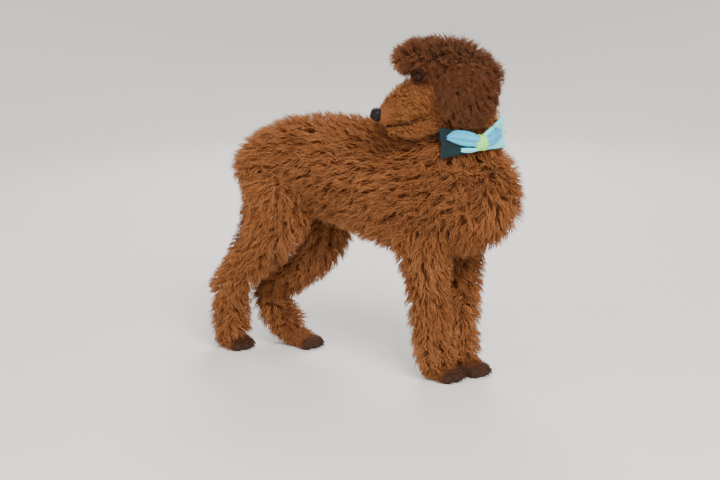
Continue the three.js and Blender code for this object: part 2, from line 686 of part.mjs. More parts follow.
let [chest, trunkRear] = parted(trunkWhole.subtract(tailForm(GAP)), ...CHEST_END);
for (const [name, side] of Object.entries(SIDES)) {
  const own = [[0, 0, 0], [0, side, 0]];
  const along = ({ y, z, normal: [nx, ny, nz] }) => [[0, side * y, z], [nx, side * ny, nz]];
  let foreleg;
  let hindleg;
  [foreleg, chest] = partedOff(chest, [own, along(SHOULDER)]);
  [hindleg, trunkRear] = partedOff(trunkRear, [own, along(HIP), [[THIGH_FRONT[name], 0, 0], [-1, 0, 0]]]);
  const [upperArm, forepaw] = parted(foreleg, [0, 0, PAW_TOP], [0, 0, 1]);
  const [lowerLeg, thigh] = parted(hindleg, ...KNEE[name]);
  const [metatarsusAndPaw, shank] = parted(lowerLeg, ...HOCK[name]);
  const [metatarsus, hindpaw] = parted(metatarsusAndPaw, [0, 0, PAW_TOP], [0, 0, 1]);
  addNode(`foreleg_${name}`, upperArm, materials.coat);
  addNode(`forepaw_${name}`, forepaw, materials.paw);
  addNode(`thigh_${name}`, thigh, materials.coat);
  addNode(`shank_${name}`, shank, materials.coat);
  addNode(`metatarsus_${name}`, metatarsus, materials.coat);
  addNode(`hindpaw_${name}`, hindpaw, materials.paw);
}
const [rump, loin] = parted(trunkRear, ...RUMP_START);
addNode('chest', chest, materials.coat);
addNode('loin', loin, materials.coat);
addNode('rump', rump, materials.coat);

export default root;
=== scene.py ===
"""A young standard poodle, standing still and looking back over its right shoulder.

Skin, curly coat, eyes, nose, lips, claws, collar and bow tie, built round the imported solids.
Lengths in the tables are millimetres in the dog's own frame, and every mesh is made in metres.
"""

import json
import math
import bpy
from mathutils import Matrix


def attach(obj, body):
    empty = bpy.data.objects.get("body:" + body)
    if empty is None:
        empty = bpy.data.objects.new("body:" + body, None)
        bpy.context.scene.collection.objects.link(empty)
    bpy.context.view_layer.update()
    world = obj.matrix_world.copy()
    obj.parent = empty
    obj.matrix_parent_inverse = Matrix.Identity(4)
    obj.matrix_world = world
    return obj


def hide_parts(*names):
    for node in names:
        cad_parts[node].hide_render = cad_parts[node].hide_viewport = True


bl_info = {
    "name": "Standing Poodle",
    "version": (1, 0, 0),
    "blender": (4, 5, 0),
    "location": "View3D > Sidebar > Poodle",
    "description": "Builds a life-size standing poodle with a curly coat round its packed solids",
    "category": "Add Mesh",
}

import bpy
import numpy as np
from bpy.props import FloatProperty, FloatVectorProperty, PointerProperty
from mathutils import Matrix, Vector, kdtree

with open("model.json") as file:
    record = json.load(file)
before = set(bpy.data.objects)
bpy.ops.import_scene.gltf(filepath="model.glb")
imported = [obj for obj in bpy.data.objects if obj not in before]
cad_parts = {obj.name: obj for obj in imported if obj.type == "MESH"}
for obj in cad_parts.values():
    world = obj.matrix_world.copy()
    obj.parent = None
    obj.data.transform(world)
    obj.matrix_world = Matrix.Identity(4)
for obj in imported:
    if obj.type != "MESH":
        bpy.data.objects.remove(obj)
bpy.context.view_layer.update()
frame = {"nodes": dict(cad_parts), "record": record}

# Stations of the body: x, y, z, half width, half depth and coat length, out to the tips.
TORSO = [
    (-258, 0, 378, 40, 30, 22),
    (-242, 0, 370, 70, 58, 26),
    (-192, 0, 362, 87, 86, 30),
    (-110, 0, 368, 86, 99, 30),
    (-30, 0, 361, 90, 106, 30),
    (50, 0, 345, 98, 118, 30),
    (120, 0, 340, 102, 120, 32),
    (188, 0, 342, 99, 116, 34),
    (236, 0, 350, 84, 98, 36),
    (269, 0, 358, 52, 64, 34),
]
NECK = [
    (130, 0, 372, 92, 84, 30),
    (178, -5, 406, 82, 86, 32),
    (207, -15, 438, 62, 64, 26),
    (211, -26, 472, 57, 59, 26),
    (210, -34, 504, 54, 56, 26),
    (206, -39, 536, 46, 48, 22),
]
FORELEG_RIGHT = [
    (140, -54, 300, 48, 62, 28),
    (138, -50, 245, 45, 54, 28),
    (140, -40, 195, 39, 43, 28),
    (140, -32, 130, 37, 39, 28),
    (144, -28, 80, 37, 39, 28),
    (150, -27, 44, 38, 39, 26),
    (158, -26, 24, 33, 38, 16),
]
FORELEG_LEFT = [
    (150, 54, 300, 48, 62, 28),
    (156, 50, 245, 45, 54, 28),
    (166, 40, 195, 39, 43, 28),
    (170, 32, 130, 37, 39, 28),
    (167, 28, 80, 37, 39, 28),
    (170, 27, 44, 38, 39, 26),
    (178, 26, 24, 33, 38, 16),
]
HINDLEG_RIGHT = [
    (-168, -46, 350, 54, 70, 28),
    (-164, -54, 300, 48, 74, 28),
    (-180, -54, 250, 44, 62, 28),
    (-212, -49, 203, 40, 46, 28),
    (-256, -44, 164, 37, 40, 28),
    (-287, -40, 130, 36, 40, 28),
    (-293, -38, 95, 36, 39, 28),
    (-296, -36, 44, 37, 39, 26),
    (-293, -35, 24, 32, 38, 16),
]
HINDLEG_LEFT = [
    (-150, 46, 350, 54, 70, 28),
    (-132, 54, 300, 48, 70, 28),
    (-124, 54, 245, 44, 56, 28),
    (-148, 48, 188, 40, 46, 28),
    (-196, 43, 146, 37, 41, 28),
    (-240, 39, 116, 36, 40, 28),
    (-250, 37, 90, 36, 38, 28),
    (-222, 35, 50, 37, 38, 26),
    (-196, 35, 26, 32, 38, 16),
]
TAIL = [
    (-248, 0, 394, 24, 22, 16),
    (-264, 0, 345, 22, 20, 16),
    (-266, 0, 295, 20, 18, 16),
    (-276, 0, 240, 20, 18, 16),
    (-298, 0, 192, 20, 18, 16),
    (-326, 0, 150, 19, 17, 15),
    (-354, 0, 120, 15, 14, 13),
    (-374, 0, 103, 9, 9, 8),
]
# Stations of the head, in its own frame: +X along the muzzle, +Y to its left.
SKULL = [
    (-60, 0, -32, 22, 22, 20),
    (-46, 0, -24, 42, 36, 24),
    (-27, 0, -16, 53, 50, 28),
    (-2, 0, 1, 60, 57, 30),
    (26, 0, 20, 62, 53, 30),
    (56, 0, 40, 57, 37, 30),
    (80, 0, 46, 46, 27, 22),
    (94, 0, 43, 31, 19, 16),
]
FACE = [
    (0, 0, -26, 44, 46, 14),
    (40, 0, -22, 44, 48, 12),
    (70, 0, -20, 34, 40, 10),
    (92, 0, -24, 30, 36, 10),
]
MUZZLE = [
    (60, 0, -23, 32, 38, 12),
    (86, 0, -22, 31, 37, 13),
    (106, 0, -26, 29, 34, 13),
    (128, 0, -32, 25, 29, 11),
    (143, 0, -35, 19, 20, 6),
    (150, 0, -36, 14, 15, 4),
]
JAW = [
    (20, 0, -60, 38, 30, 14),
    (60, 0, -65, 32, 26, 14),
    (96, 0, -66, 27, 21, 13),
    (122, 0, -63, 20, 15, 11),
    (140, 0, -58, 12, 8, 6),
]
HEAD_AT = (204, -40, 554)
HEAD_HEADING = -144
HEAD_PITCH = 15
PAWS = {
    "fore_right": (164, -25),
    "fore_left": (192, 26),
    "hind_right": (-290, -34),
    "hind_left": (-174, 35),
}
PAW = {"half_length": 41, "half_width": 30}
# Each toe: its share of the spread across the paw, and how far it is ahead of the middle toes.
TOES = ((-1, -8), (-0.34, 0), (0.34, 0), (1, -8))
TOE_SPREAD = 21.5
TOE_SIZE = (14.5, 7.3, 10)
EYE_AT = (66, 26, 16)
EYE_YAW = 42
EYE_SOCKET = 10.8
BROW_AT = (58, 20, 22)
BROW_SIZE = (18, 13, 12)
# An ear's middle, its half sizes with the hair, its height over the middle as a share of that
# below it, the hair's depth over the flap, the flap's thickness and the steps round it.
EAR_AT = (-1, 51, -27)
EAR_SIZE = (55, 20, 64)
EAR_TOP = 0.78
EAR_HAIR = 9
EAR_THICK = 3.5
EAR_STEPS = 34
NOSE_AT = (152, 0, -29)
NOSE_SIZE = (12.5, 13.5, 12)
LIP_EDGE = [
    (66, 22.5, -57),
    (84, 23, -58.5),
    (104, 22, -57.5),
    (124, 18, -55.5),
    (138, 10.5, -54),
    (146, 1.5, -53.5),
]
COLLAR = {"at": (209, -20, 447), "axis": (0.12, -0.02, 1), "radius": 56, "width": 18, "thick": 4}
BOW = {"facing": -41, "roll": 6, "lean": 8, "bend": 34, "knot": (11, 9, 16)}
# Scale of the bands that stand for the bow's threads.
THREADS = 420.0
SIDES = {"left": 1, "right": -1}
# The mouth runs between these places of the head's frame.
MOUTH = {"back": 70, "front": 158, "half_width": 32}
# Bare skin: the radius round a point so far ahead of each eye, how far the roots stay from the
# lips and the nose, and half the width that the strap keeps flat.
BARE = {"ahead": 9.5, "eye": 8.6, "lips": 1.5, "nose": 1.5, "strap": 10}
# Strands stay out of the eyes' sight: beams at these turns from an eye's own yaw, in degrees.
SIGHT = {"turns": (-14, 12, 38), "rise": 0.12, "radius": 8.2, "start": 3, "end": 60}
CAMERA = {"at": (1250, -2114, 781), "aim": (-6.9, -22.1, 239.5), "roll": -1.2}
# Each light, in metres: where it is, how wide, and its share of the key light's power.
LIGHTS = {
    "key_light": ((2.0, -1.7, 2.5), 1.5, 1.0),
    "fill_light": ((-1.4, -2.8, 1.6), 2.4, 0.2),
    "rim_light": ((-1.2, 2.2, 2.2), 1.2, 0.45),
}

SOLE = next(m for m in frame["record"]["mounts"] if m["name"] == "fore_right_sole")["pos_m"]
MIDDLE = np.array([PAWS["fore_right"][0] - 1000 * SOLE[0], PAWS["fore_right"][1] - 1000 * SOLE[1], 0])
FLESH = [n for n in frame["nodes"] if not n.startswith(("eye", "nose", "collar", "bow"))]
# The skin lies inside the outer form by this share of the coat, and is never thinner than this.
CORE = 0.8
THINNEST = 3.5
# Places along a form, and in metres the skin's voxel and a strand's patch on the map.
SAMPLES = 110
VOXEL = 0.0029
UV_PATCH = 0.003
# How far apart the looks of two forms blend, how widely single hairs scatter round the lie,
# and what share of the hairs stay out of their lock.
BLEND_REACH = 9.0
LIE_SCATTER = 0.22
STRAY = 0.3
# How high over the ground the skin and the hair end.
LOWEST_SKIN = 0.6
LOWEST_HAIR = 1.2
COAT_SEED = 11
EAR_SEED = 50
EAR_STRANDS = 4600


def unit(vectors):
    """Vectors of length one."""
    return vectors / np.maximum(np.linalg.norm(vectors, axis=-1, keepdims=True), 1e-9)


def rising(value, start, over):
    """0 up to a start, then evenly up to 1."""
    return np.clip((value - start) / over, 0, 1)


def falling(value, end, over):
    """0 from an end on, and evenly up to 1 before it."""
    return np.clip((end - value) / over, 0, 1)


def circle(steps):
    """Angles spaced evenly round a circle."""
    return np.linspace(0, 2 * np.pi, steps, endpoint=False)


def spline(points, count):
    """Evenly spaced rows on the smooth curve through rows of numbers, spaced by their first three."""
    rows = np.array(points, float)
    ends = np.vstack([2 * rows[0] - rows[1], rows, 2 * rows[-1] - rows[-2]])

    def at(t):
        i = np.clip(t.astype(int), 0, len(rows) - 2)
        f = (t - i)[:, None]
        a, b, c, d = ends[i], ends[i + 1], ends[i + 2], ends[i + 3]
        cubic = (3 * b - a - 3 * c + d) * f**3
        return 0.5 * (2 * b + (c - a) * f + (2 * a - 5 * b + 4 * c - d) * f**2 + cubic)

    fine = np.linspace(0, len(rows) - 1, 12 * count)
    steps = np.linalg.norm(np.diff(at(fine)[:, :3], axis=0), axis=1)
    gone = np.concatenate([[0], np.cumsum(steps)])
    return at(np.interp(np.linspace(0, gone[-1], count), gone, fine))


def turned(angle, axis):
    """A turn by degrees about an axis, as a 3x3 array."""
    return np.array(Matrix.Rotation(math.radians(angle), 3, axis))


HEAD_TURN = turned(HEAD_HEADING, "Z") @ turned(HEAD_PITCH, "Y")
EAR_TURN = turned(-HEAD_PITCH, "Y")
COLLAR_AXIS = Vector(COLLAR["axis"]).normalized()
COLLAR_TURN = np.array(Vector((0, 0, 1)).rotation_difference(COLLAR_AXIS).to_matrix())


def from_head(points):
    """Points of the head's frame, in the dog's."""
    return np.asarray(points, float) @ HEAD_TURN.T + HEAD_AT


def to_head(points):
    """Points of the dog's frame, in the head's."""
    return (np.asarray(points, float) - HEAD_AT) @ HEAD_TURN


def placed(points):
    """Points in millimetres of the dog's frame, in metres of the model's."""
    return (np.asarray(points, float) - MIDDLE) * 0.001


def on_side(side, point):
    """A point given for the left side, on this side."""
    return np.array([point[0], side * point[1], point[2]])


class Form:
    """A smooth form round a line of stations, with its coat's length at each."""

    def __init__(self, name, stations, on_head=False):
        rows = spline(stations, SAMPLES)
        self.name = name
        self.centre, self.half, self.coat = rows[:, :3], rows[:, 3:5], np.maximum(rows[:, 5], 2)
        self.along = unit(np.gradient(self.centre, axis=0))
        sideways = np.array([0.0, 1.0, 0.0])
        self.across = unit(sideways - self.along * self.along[:, 1:2])
        self.deep = np.cross(self.along, self.across)
        if on_head:
            self.centre = from_head(self.centre)
            self.along = self.along @ HEAD_TURN.T
            self.across = self.across @ HEAD_TURN.T
            self.deep = self.deep @ HEAD_TURN.T
        self.skin = np.maximum(self.half - CORE * self.coat[:, None], THINNEST)

    def tube(self, sides=26):
        """The form's skin as a closed mesh with domed ends, which start inside the coat's own ends."""
        turn = circle(sides)
        length = np.linalg.norm(self.centre[-1] - self.centre[-2]) * (SAMPLES - 1)
        first, spare = (int(CORE * self.coat[end] / length * SAMPLES * 0.5) for end in (0, -1))
        picked = range(first, SAMPLES - spare, 2)
        rings = []
        for i in picked:
            a, b = self.skin[i]
            ring = self.centre[i] + a * np.cos(turn)[:, None] * self.across[i]
            rings.append(ring + b * np.sin(turn)[:, None] * self.deep[i])
        ends = ((picked[0], -1), (picked[-1], 1))
        tips = [self.centre[i] + way * 0.35 * self.skin[i].min() * self.along[i] for i, way in ends]
        return lofted(rings, tips)

    def find(self, points, batch=20000):
        """For each point: the nearest station, the angle round the form and the height over its skin."""
        nearest = np.empty(len(points), int)
        line = self.centre.T.astype(np.float32)
        squares = (self.centre**2).sum(1).astype(np.float32)
        for start in range(0, len(points), batch):
            part = points[start : start + batch].astype(np.float32)
            away = (part**2).sum(1)[:, None] - 2 * part @ line + squares
            nearest[start : start + batch] = away.argmin(1)
        offset = points - self.centre[nearest]
        a = (offset * self.across[nearest]).sum(1)
        b = (offset * self.deep[nearest]).sum(1)
        beyond = (offset * self.along[nearest]).sum(1)
        half = self.skin[nearest]
        level = np.sqrt((a / half[:, 0]) ** 2 + (b / half[:, 1]) ** 2)
        height = (level - 1) * np.minimum(half[:, 0], half[:, 1])
        past_end = np.where((nearest == 0) | (nearest == SAMPLES - 1), np.abs(beyond), 0)
        return nearest, np.arctan2(b, a), np.hypot(np.maximum(height, 0), past_end) + np.minimum(height, 0)


def bands(rings, sides, closed=False):
    """Faces from each ring of points to the next one, and from the last to the first where closed."""
    faces = []
    for i in range(rings if closed else rings - 1):
        n = (i + 1) % rings
        for j in range(sides):
            k = (j + 1) % sides
            faces.append((i * sides + j, i * sides + k, n * sides + k, n * sides + j))
    return faces


def flipped(faces):
    """The same faces, turned inside out."""
    return [face[::-1] for face in faces]


def lofted(rings, tips):
    """Vertices and faces of rings of points, closed by a fan at each end."""
    count, sides = len(rings), len(rings[0])
    first, last = count * sides, count * sides + 1
    faces = bands(count, sides)
    for j in range(sides):
        k = (j + 1) % sides
        faces.append((first, k, j))
        faces.append((last, (count - 1) * sides + j, (count - 1) * sides + k))
    return np.vstack([*rings, np.array(tips)]), faces


def level_ring(radius, level, steps):
    """Points evenly round a level circle."""
    turn = circle(steps)
    return np.stack([radius * np.cos(turn), radius * np.sin(turn), np.full(steps, level)], 1)


def ball(at, size, around=32, high=20):
    """Vertices and faces of an ellipsoid."""
    rings = [level_ring(np.sin(row), -np.cos(row), around) for row in np.linspace(0, np.pi, high + 1)[1:-1]]
    points, faces = lofted(rings, [(0, 0, -1), (0, 0, 1)])
    return points * np.array(size) + np.array(at), faces


def linked(name, data):
    """A new object in the scene."""
    made = bpy.data.objects.new(name, data)
    bpy.context.scene.collection.objects.link(made)
    return made


def mesh_object(name, points, faces):
    """A new, smooth object from points in millimetres of the dog's frame."""
    mesh = bpy.data.meshes.new(name)
    mesh.from_pydata([tuple(p) for p in placed(points)], [], [tuple(int(i) for i in f) for f in faces])
    mesh.validate()
    mesh.update()
    mesh.shade_smooth()
    return linked(name, mesh)


def merged(parts):
    """One list of points and one of faces from several."""
    points, faces, count = [], [], 0
    for p, f in parts:
        points.append(p)
        faces.extend(tuple(i + count for i in face) for face in f)
        count += len(p)
    return np.vstack(points), faces


def dress(piece, material, slot, *nodes):
    """Gives a piece its material, sets it on the body, and lets it stand for nodes. The slot is not used.
    """
    piece.data.materials.clear()
    piece.data.materials.append(material)
    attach(piece, "root")
    if nodes:
        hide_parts(*nodes)


def triples(items, key, kind=np.float32):
    """Three numbers from each item of a mesh."""
    data = np.empty(len(items) * 3, kind)
    items.foreach_get(key, data)
    return data.reshape(-1, 3)


def corners(piece):
    """The vertices of a mesh object, in millimetres of the dog's frame."""
    return triples(piece.data.vertices, "co").astype(float) * 1000 + MIDDLE


def number_attributes(piece, numbers):
    """Stores numbers on each vertex, by name."""
    for name, values in numbers.items():
        layer = piece.data.attributes.new(name, "FLOAT", "POINT")
        layer.data.foreach_set("value", np.asarray(values, np.float32))


# Shader expressions


class Wire:
    """A socket of a shader tree, which takes part in Python expressions."""

    def __init__(self, tree, socket):
        self.tree = tree
        self.socket = socket

    def _math(self, operation, first, second):
        return self.tree.node("ShaderNodeMath", {"operation": operation}, {0: first, 1: second})

    def __add__(self, other):
        return self._math("ADD", self, other)

    def __radd__(self, other):
        return self._math("ADD", other, self)

    def __sub__(self, other):
        return self._math("SUBTRACT", self, other)

    def __rsub__(self, other):
        return self._math("SUBTRACT", other, self)

    def __mul__(self, other):
        return self._math("MULTIPLY", self, other)

    def __rmul__(self, other):
        return self._math("MULTIPLY", other, self)


class Tree:
    """A material's shader tree, built from expressions."""

    def __init__(self, name):
        self.material = bpy.data.materials.new(name)
        self.material.use_nodes = True
        self.nodes = self.material.node_tree.nodes
        self.links = self.material.node_tree.links
        self.nodes.clear()

    def node(self, kind, settings, inputs, output=0):
        """Adds a node: its settings first, then the values or links of its sockets."""
        made = self.nodes.new(kind)
        for key, value in settings.items():
            setattr(made, key, value)
        for key, value in inputs.items():
            self.feed(made.inputs[key], value)
        return Wire(self, made.outputs[output] if made.outputs else None)

    def feed(self, socket, value):
        """Links a wire to a socket, or sets its value."""
        if isinstance(value, Wire):
            self.links.new(value.socket, socket)
        elif socket.type == "RGBA" and len(value) == 3:
            socket.default_value = (*value, 1.0)
        else:
            socket.default_value = value

    def mix(self, factor, first, second, blend="MIX"):
        """Mixes two colours."""
        settings = {"data_type": "RGBA", "blend_type": blend, "clamp_factor": True}
        return self.node("ShaderNodeMix", settings, {0: factor, 6: first, 7: second}, 2)

    def place(self, stretch=None):
        """Where a point of the surface is, in the object's own metres."""
        spot = self.node("ShaderNodeTexCoord", {}, {}, 3)
        if stretch is None:
            return spot
        return self.node("ShaderNodeVectorMath", {"operation": "MULTIPLY"}, {0: spot, 1: stretch})

    def noise(self, scale, detail=2.0, roughness=0.5, place=None):
        """A smooth random number from 0 to 1 over the surface."""
        inputs = {"Scale": scale, "Detail": detail, "Roughness": roughness, "Vector": place or self.place()}
        return self.node("ShaderNodeTexNoise", {}, inputs)

    def waves(self, direction, scale, distortion=0.0):
        """Even bands across a direction, from 0 to 1."""
        inputs = {"Vector": self.place(), "Scale": scale, "Distortion": distortion}
        return self.node("ShaderNodeTexWave", {"bands_direction": direction}, inputs, 1)

    def number(self, name):
        """A number stored on the mesh."""
        return self.node("ShaderNodeAttribute", {"attribute_name": name}, {}, 2)

    def step(self, value, low, high):
        """0 below low, 1 above high and smooth between them."""
        settings = {"interpolation_type": "SMOOTHSTEP", "clamp": True}
        return self.node("ShaderNodeMapRange", settings, {0: value, 1: low, 2: high, 3: 0.0, 4: 1.0})

    def bump(self, height, strength, distance):
        """A normal from a height."""
        inputs = {"Strength": strength, "Distance": distance, "Height": height}
        return self.node("ShaderNodeBump", {}, inputs)

    def surface(self, **sockets):
        """Ends the tree in one surface shader."""
        inputs = {name.replace("_", " "): value for name, value in sockets.items()}
        shader = self.node("ShaderNodeBsdfPrincipled", {}, inputs)
        self.node("ShaderNodeOutputMaterial", {}, {0: shader})
        return self.material


# Materials


def shade(colour, factor):
    """A colour made darker or lighter."""
    return tuple(factor * c for c in colour)


def coat_colour(tree, look):
    """The coat's colour, the same on the skin and on the locks: soft patches, then the marks: tan face,
    dark toes, darker ears and crown that are partly painted shade, and painted shade round the eyes.
    """
    colour = tree.mix(tree.step(tree.noise(9.0, 3.0), 0.35, 0.68), look.coat_colour, look.light_colour)
    # The dark mark is the toes' own colour and painted shade round the eyes; the ear mark is partly painted
    # shade.
    for mark in ("ear", "face", "dark"):
        colour = tree.mix(tree.number(f"{mark}_mark"), colour, getattr(look, f"{mark}_colour"))
    return colour


def coat_material(look):
    """Hair of the locks: darker at the root, lighter at the tip, each lock with its own tone."""
    tree = Tree("coat_hair")
    colour = coat_colour(tree, look)
    along = tree.number("along")
    depth = tree.mix(tree.step(along, 0.0, 0.62), look.root_shade, (1.0, 1.0, 1.0))
    colour = tree.mix(1.0, colour, depth, "MULTIPLY")
    colour = tree.mix(tree.number("tone") * 0.85, colour, (0.46, 0.38, 0.34), "MULTIPLY")
    bleached = tree.step(along, 0.7, 1.0) * (0.35 - 0.27 * tree.number("ear_mark"))
    return tree.surface(
        Base_Color=tree.mix(bleached, colour, look.tip_colour),
        Roughness=0.62 + 0.16 * tree.noise(900.0, 1.0),
        Specular_IOR_Level=0.18,
        Sheen_Weight=0.16,
        Sheen_Roughness=0.45,
        Sheen_Tint=(1.0, 0.6, 0.32),
    )


def skin_material(look):
    """Skin under the coat, with the coat's own marks and a short down, darkened with painted shade like the
    roots of the locks.
    """
    tree = Tree("poodle_skin")
    # Painted shade: where the skin shows between the locks, it is darkened like their roots.
    colour = tree.mix(1.0, coat_colour(tree, look), (0.66, 0.54, 0.48), "MULTIPLY")
    down = tree.noise(420.0, 4.0, 0.7)
    return tree.surface(
        Base_Color=tree.mix(tree.noise(160.0, 3.0) * 0.6, colour, (0.05, 0.02, 0.012)),
        Roughness=0.7 + 0.2 * down,
        Normal=tree.bump(down, 0.5, 0.002),
        Specular_IOR_Level=0.25,
    )


def dark_skin_material(name, base, roughness):
    """Bare, pigmented skin of the lids and lips, finely wrinkled."""
    tree = Tree(name)
    wrinkles = tree.noise(700.0, 4.0, 0.6)
    return tree.surface(
        Base_Color=tree.mix(wrinkles, base, shade(base, 1.9)),
        Roughness=roughness + 0.2 * wrinkles,
        Normal=tree.bump(wrinkles, 0.35, 0.0006),
        Specular_IOR_Level=0.08,
    )


def nose_material(base):
    """Moist black skin in small pebbles."""
    tree = Tree("nose_leather")
    cells = {"Vector": tree.place(), "Scale": 620.0}
    raised = tree.step(tree.node("ShaderNodeTexVoronoi", {"feature": "DISTANCE_TO_EDGE"}, cells), 0.0, 0.22)
    colour = tree.mix(raised * 0.8, shade(base, 0.45), base)
    return tree.surface(
        Base_Color=tree.mix(tree.noise(120.0, 2.0) * 0.4, colour, (0.02, 0.015, 0.016)),
        Roughness=0.5 - 0.12 * raised + 0.1 * tree.noise(1500.0, 2.0),
        Normal=tree.bump(raised, 0.55, 0.0005),
        Coat_Weight=0.06,
        Coat_Roughness=0.15,
        Specular_IOR_Level=0.14,
    )


def eye_material(iris):
    """A dark brown eye: pupil, fibrous iris, dark ring and a narrow white, under a clear wet coat."""
    tree = Tree("eye_surface")
    out = tree.number("eye_angle")
    fibres = tree.noise(1.0, 3.0, 0.6, tree.place((900.0, 900.0, 180.0)))
    brown = tree.mix(fibres, shade(iris, 0.45), shade(iris, 1.5))
    colour = tree.mix(tree.step(out, 15.0, 17.0), (0.004, 0.003, 0.003), brown)
    colour = tree.mix(tree.step(out, 36.0, 42.0), colour, (0.02, 0.012, 0.009))
    colour = tree.mix(tree.step(out, 50.0, 58.0), colour, (0.05, 0.034, 0.028))
    return tree.surface(
        Base_Color=colour,
        Roughness=0.1,
        Coat_Weight=0.05,
        Coat_Roughness=0.02,
        Specular_IOR_Level=0.14,
    )


def horn_material():
    """Dark horn of the claws, lined along its length."""
    tree = Tree("claw_horn")
    lines = tree.noise(1.0, 2.0, 0.5, tree.place((1200.0, 1200.0, 160.0)))
    return tree.surface(
        Base_Color=tree.mix(lines, (0.006, 0.0035, 0.003), (0.024, 0.014, 0.01)),
        Roughness=0.4 + 0.15 * lines,
        Normal=tree.bump(lines, 0.2, 0.0003),
        Specular_IOR_Level=0.25,
    )


def cloth_material(name, base, shadow, roughness, sheen):
    """Woven cloth: two crossing sets of fine threads over soft mottling."""
    tree = Tree(name)
    weave = tree.waves("DIAGONAL", THREADS, 0.4) * tree.waves("Z", THREADS, 0.4)
    colour = tree.mix(tree.step(tree.noise(38.0, 3.0), 0.3, 0.75), base, shadow)
    bright = tuple(min(1.0, 1.3 * c + 0.004) for c in base)
    return tree.surface(
        Base_Color=tree.mix(weave * 0.22, colour, bright),
        Roughness=roughness + 0.12 * weave,
        Normal=tree.bump(weave, 0.18, 0.0003),
        Sheen_Weight=sheen,
        Sheen_Roughness=0.4,
        Specular_IOR_Level=0.2,
    )


def strap_material():
    """Dark webbing: coarse ribs along the strap with a fine cross weave."""
    tree = Tree("collar_webbing")
    ribs = tree.waves("Z", 260.0)
    cross = tree.noise(1400.0, 1.0)
    colour = tree.mix(ribs, (0.006, 0.007, 0.008), (0.022, 0.024, 0.026))
    return tree.surface(
        Base_Color=tree.mix(tree.noise(60.0, 3.0) * 0.3, colour, (0.04, 0.037, 0.033)),
        Roughness=0.62 + 0.2 * cross,
        Normal=tree.bump(ribs + 0.5 * cross, 0.5, 0.0006),
        Specular_IOR_Level=0.2,
    )


def floor_material(base):
    """Pale, slightly cloudy floor."""
    tree = Tree("pale_floor")
    cloud = tree.noise(2.0, 2.0)
    return tree.surface(
        Base_Color=tree.mix(cloud, base, shade(base, 0.95)),
        Roughness=0.7 + 0.1 * cloud,
        Specular_IOR_Level=0.2,
    )


# The body's forms, with the lie and the look of the coat on each

# Columns of a look: lie along the form and downwards, lean from the normal in degrees at the root
# and at the tip, height and number of the waves, radius of a lock, width of a strand, its length
# over the coat's depth, strands per square centimetre of the outer form, sections along a strand,
# how much a lock draws together, and how far in degrees the locks differ in their lie.
ALONG, DOWN, ROOT_LEAN, TIP_LEAN, WAVE, WAVES, LOCK = range(7)
WIDTH, LENGTH, DENSITY, SECTIONS, PULL, SWIRL = range(7, 13)
LOOKS = {
    "torso": (-0.8, 0.6, 14, 66, 2.8, 1.25, 4.2, 2.0, 1.46, 5.9, 4, 0.14, 30),
    "neck": (-0.8, 0.6, 14, 64, 3.0, 1.3, 4.6, 2.1, 1.44, 6.0, 5, 0.15, 26),
    "foreleg": (0.6, 0.5, 18, 66, 2.9, 1.5, 4.6, 2.4, 1.60, 5.6, 5, 0.12, 24),
    "hindleg": (0.65, 0.5, 18, 66, 2.9, 1.5, 4.6, 2.4, 1.60, 5.0, 5, 0.12, 24),
    "tail": (1.0, 0.2, 14, 60, 1.8, 1.0, 4.6, 1.8, 1.50, 7.5, 4, 0.22, 15),
    "skull": (0.3, 0.35, 6, 48, 3.1, 1.5, 4.2, 1.8, 1.34, 8.6, 5, 0.16, 40),
    "face": (-0.9, 0.6, 16, 72, 1.3, 1.0, 3.4, 1.5, 1.36, 13.0, 4, 0.2, 14),
    "muzzle": (-1.0, 0.55, 12, 58, 1.6, 1.1, 3.4, 1.5, 1.26, 14.0, 4, 0.2, 20),
    "jaw": (-1.0, 0.5, 12, 62, 1.6, 1.1, 3.4, 1.5, 1.30, 13.0, 4, 0.2, 20),
    "paw": (0.9, 0.5, 30, 80, 0.6, 0.8, 2.4, 1.5, 1.40, 14.0, 3, 0.15, 10),
    "ear": (0, 0, 10, 72, 3.6, 1.4, 4.4, 2.0, 1.9, 0, 4, 0.46, 8),
}


def paw_stations(x, y):
    """A paw as a short form from the heel to the toes."""
    long, wide = PAW["half_length"], PAW["half_width"]
    return [
        (x - long + 4, y, 16, 0.55 * wide, 15, 6),
        (x - 0.45 * long, y, 17, 0.86 * wide, 18, 7),
        (x + 0.1 * long, y, 15, 0.94 * wide, 15, 6),
        (x + 0.55 * long, y, 11, 0.82 * wide, 10, 4),
    ]


FORMS = [
    Form("torso", TORSO),
    Form("neck", NECK),
    Form("foreleg_right", FORELEG_RIGHT),
    Form("foreleg_left", FORELEG_LEFT),
    Form("hindleg_right", HINDLEG_RIGHT),
    Form("hindleg_left", HINDLEG_LEFT),
    Form("tail", TAIL),
    Form("skull", SKULL, True),
    Form("face", FACE, True),
    Form("muzzle", MUZZLE, True),
    Form("jaw", JAW, True),
] + [Form("paw_" + name, paw_stations(*at)) for name, at in PAWS.items()]
FORM_INDEX = {form.name: i for i, form in enumerate(FORMS)}
# Each piece of the coat: the forms it covers, and from where to where along the dog.
FAR = 999
COAT_PIECES = {
    "coat_chest": (("torso",), 110, FAR),
    "coat_loin": (("torso",), -60, 110),
    "coat_rump": (("torso",), -FAR, -60),
    "coat_neck": (("neck",), -FAR, FAR),
    "coat_foreleg_right": (("foreleg_right",), -FAR, FAR),
    "coat_foreleg_left": (("foreleg_left",), -FAR, FAR),
    "coat_hindleg_right": (("hindleg_right",), -FAR, FAR),
    "coat_hindleg_left": (("hindleg_left",), -FAR, FAR),
    "coat_tail": (("tail",), -FAR, FAR),
    "coat_topknot": (("skull",), -FAR, FAR),
    "coat_face": (("face", "muzzle", "jaw"), -FAR, FAR),
    "coat_paws": (tuple("paw_" + name for name in PAWS), -FAR, FAR),
}


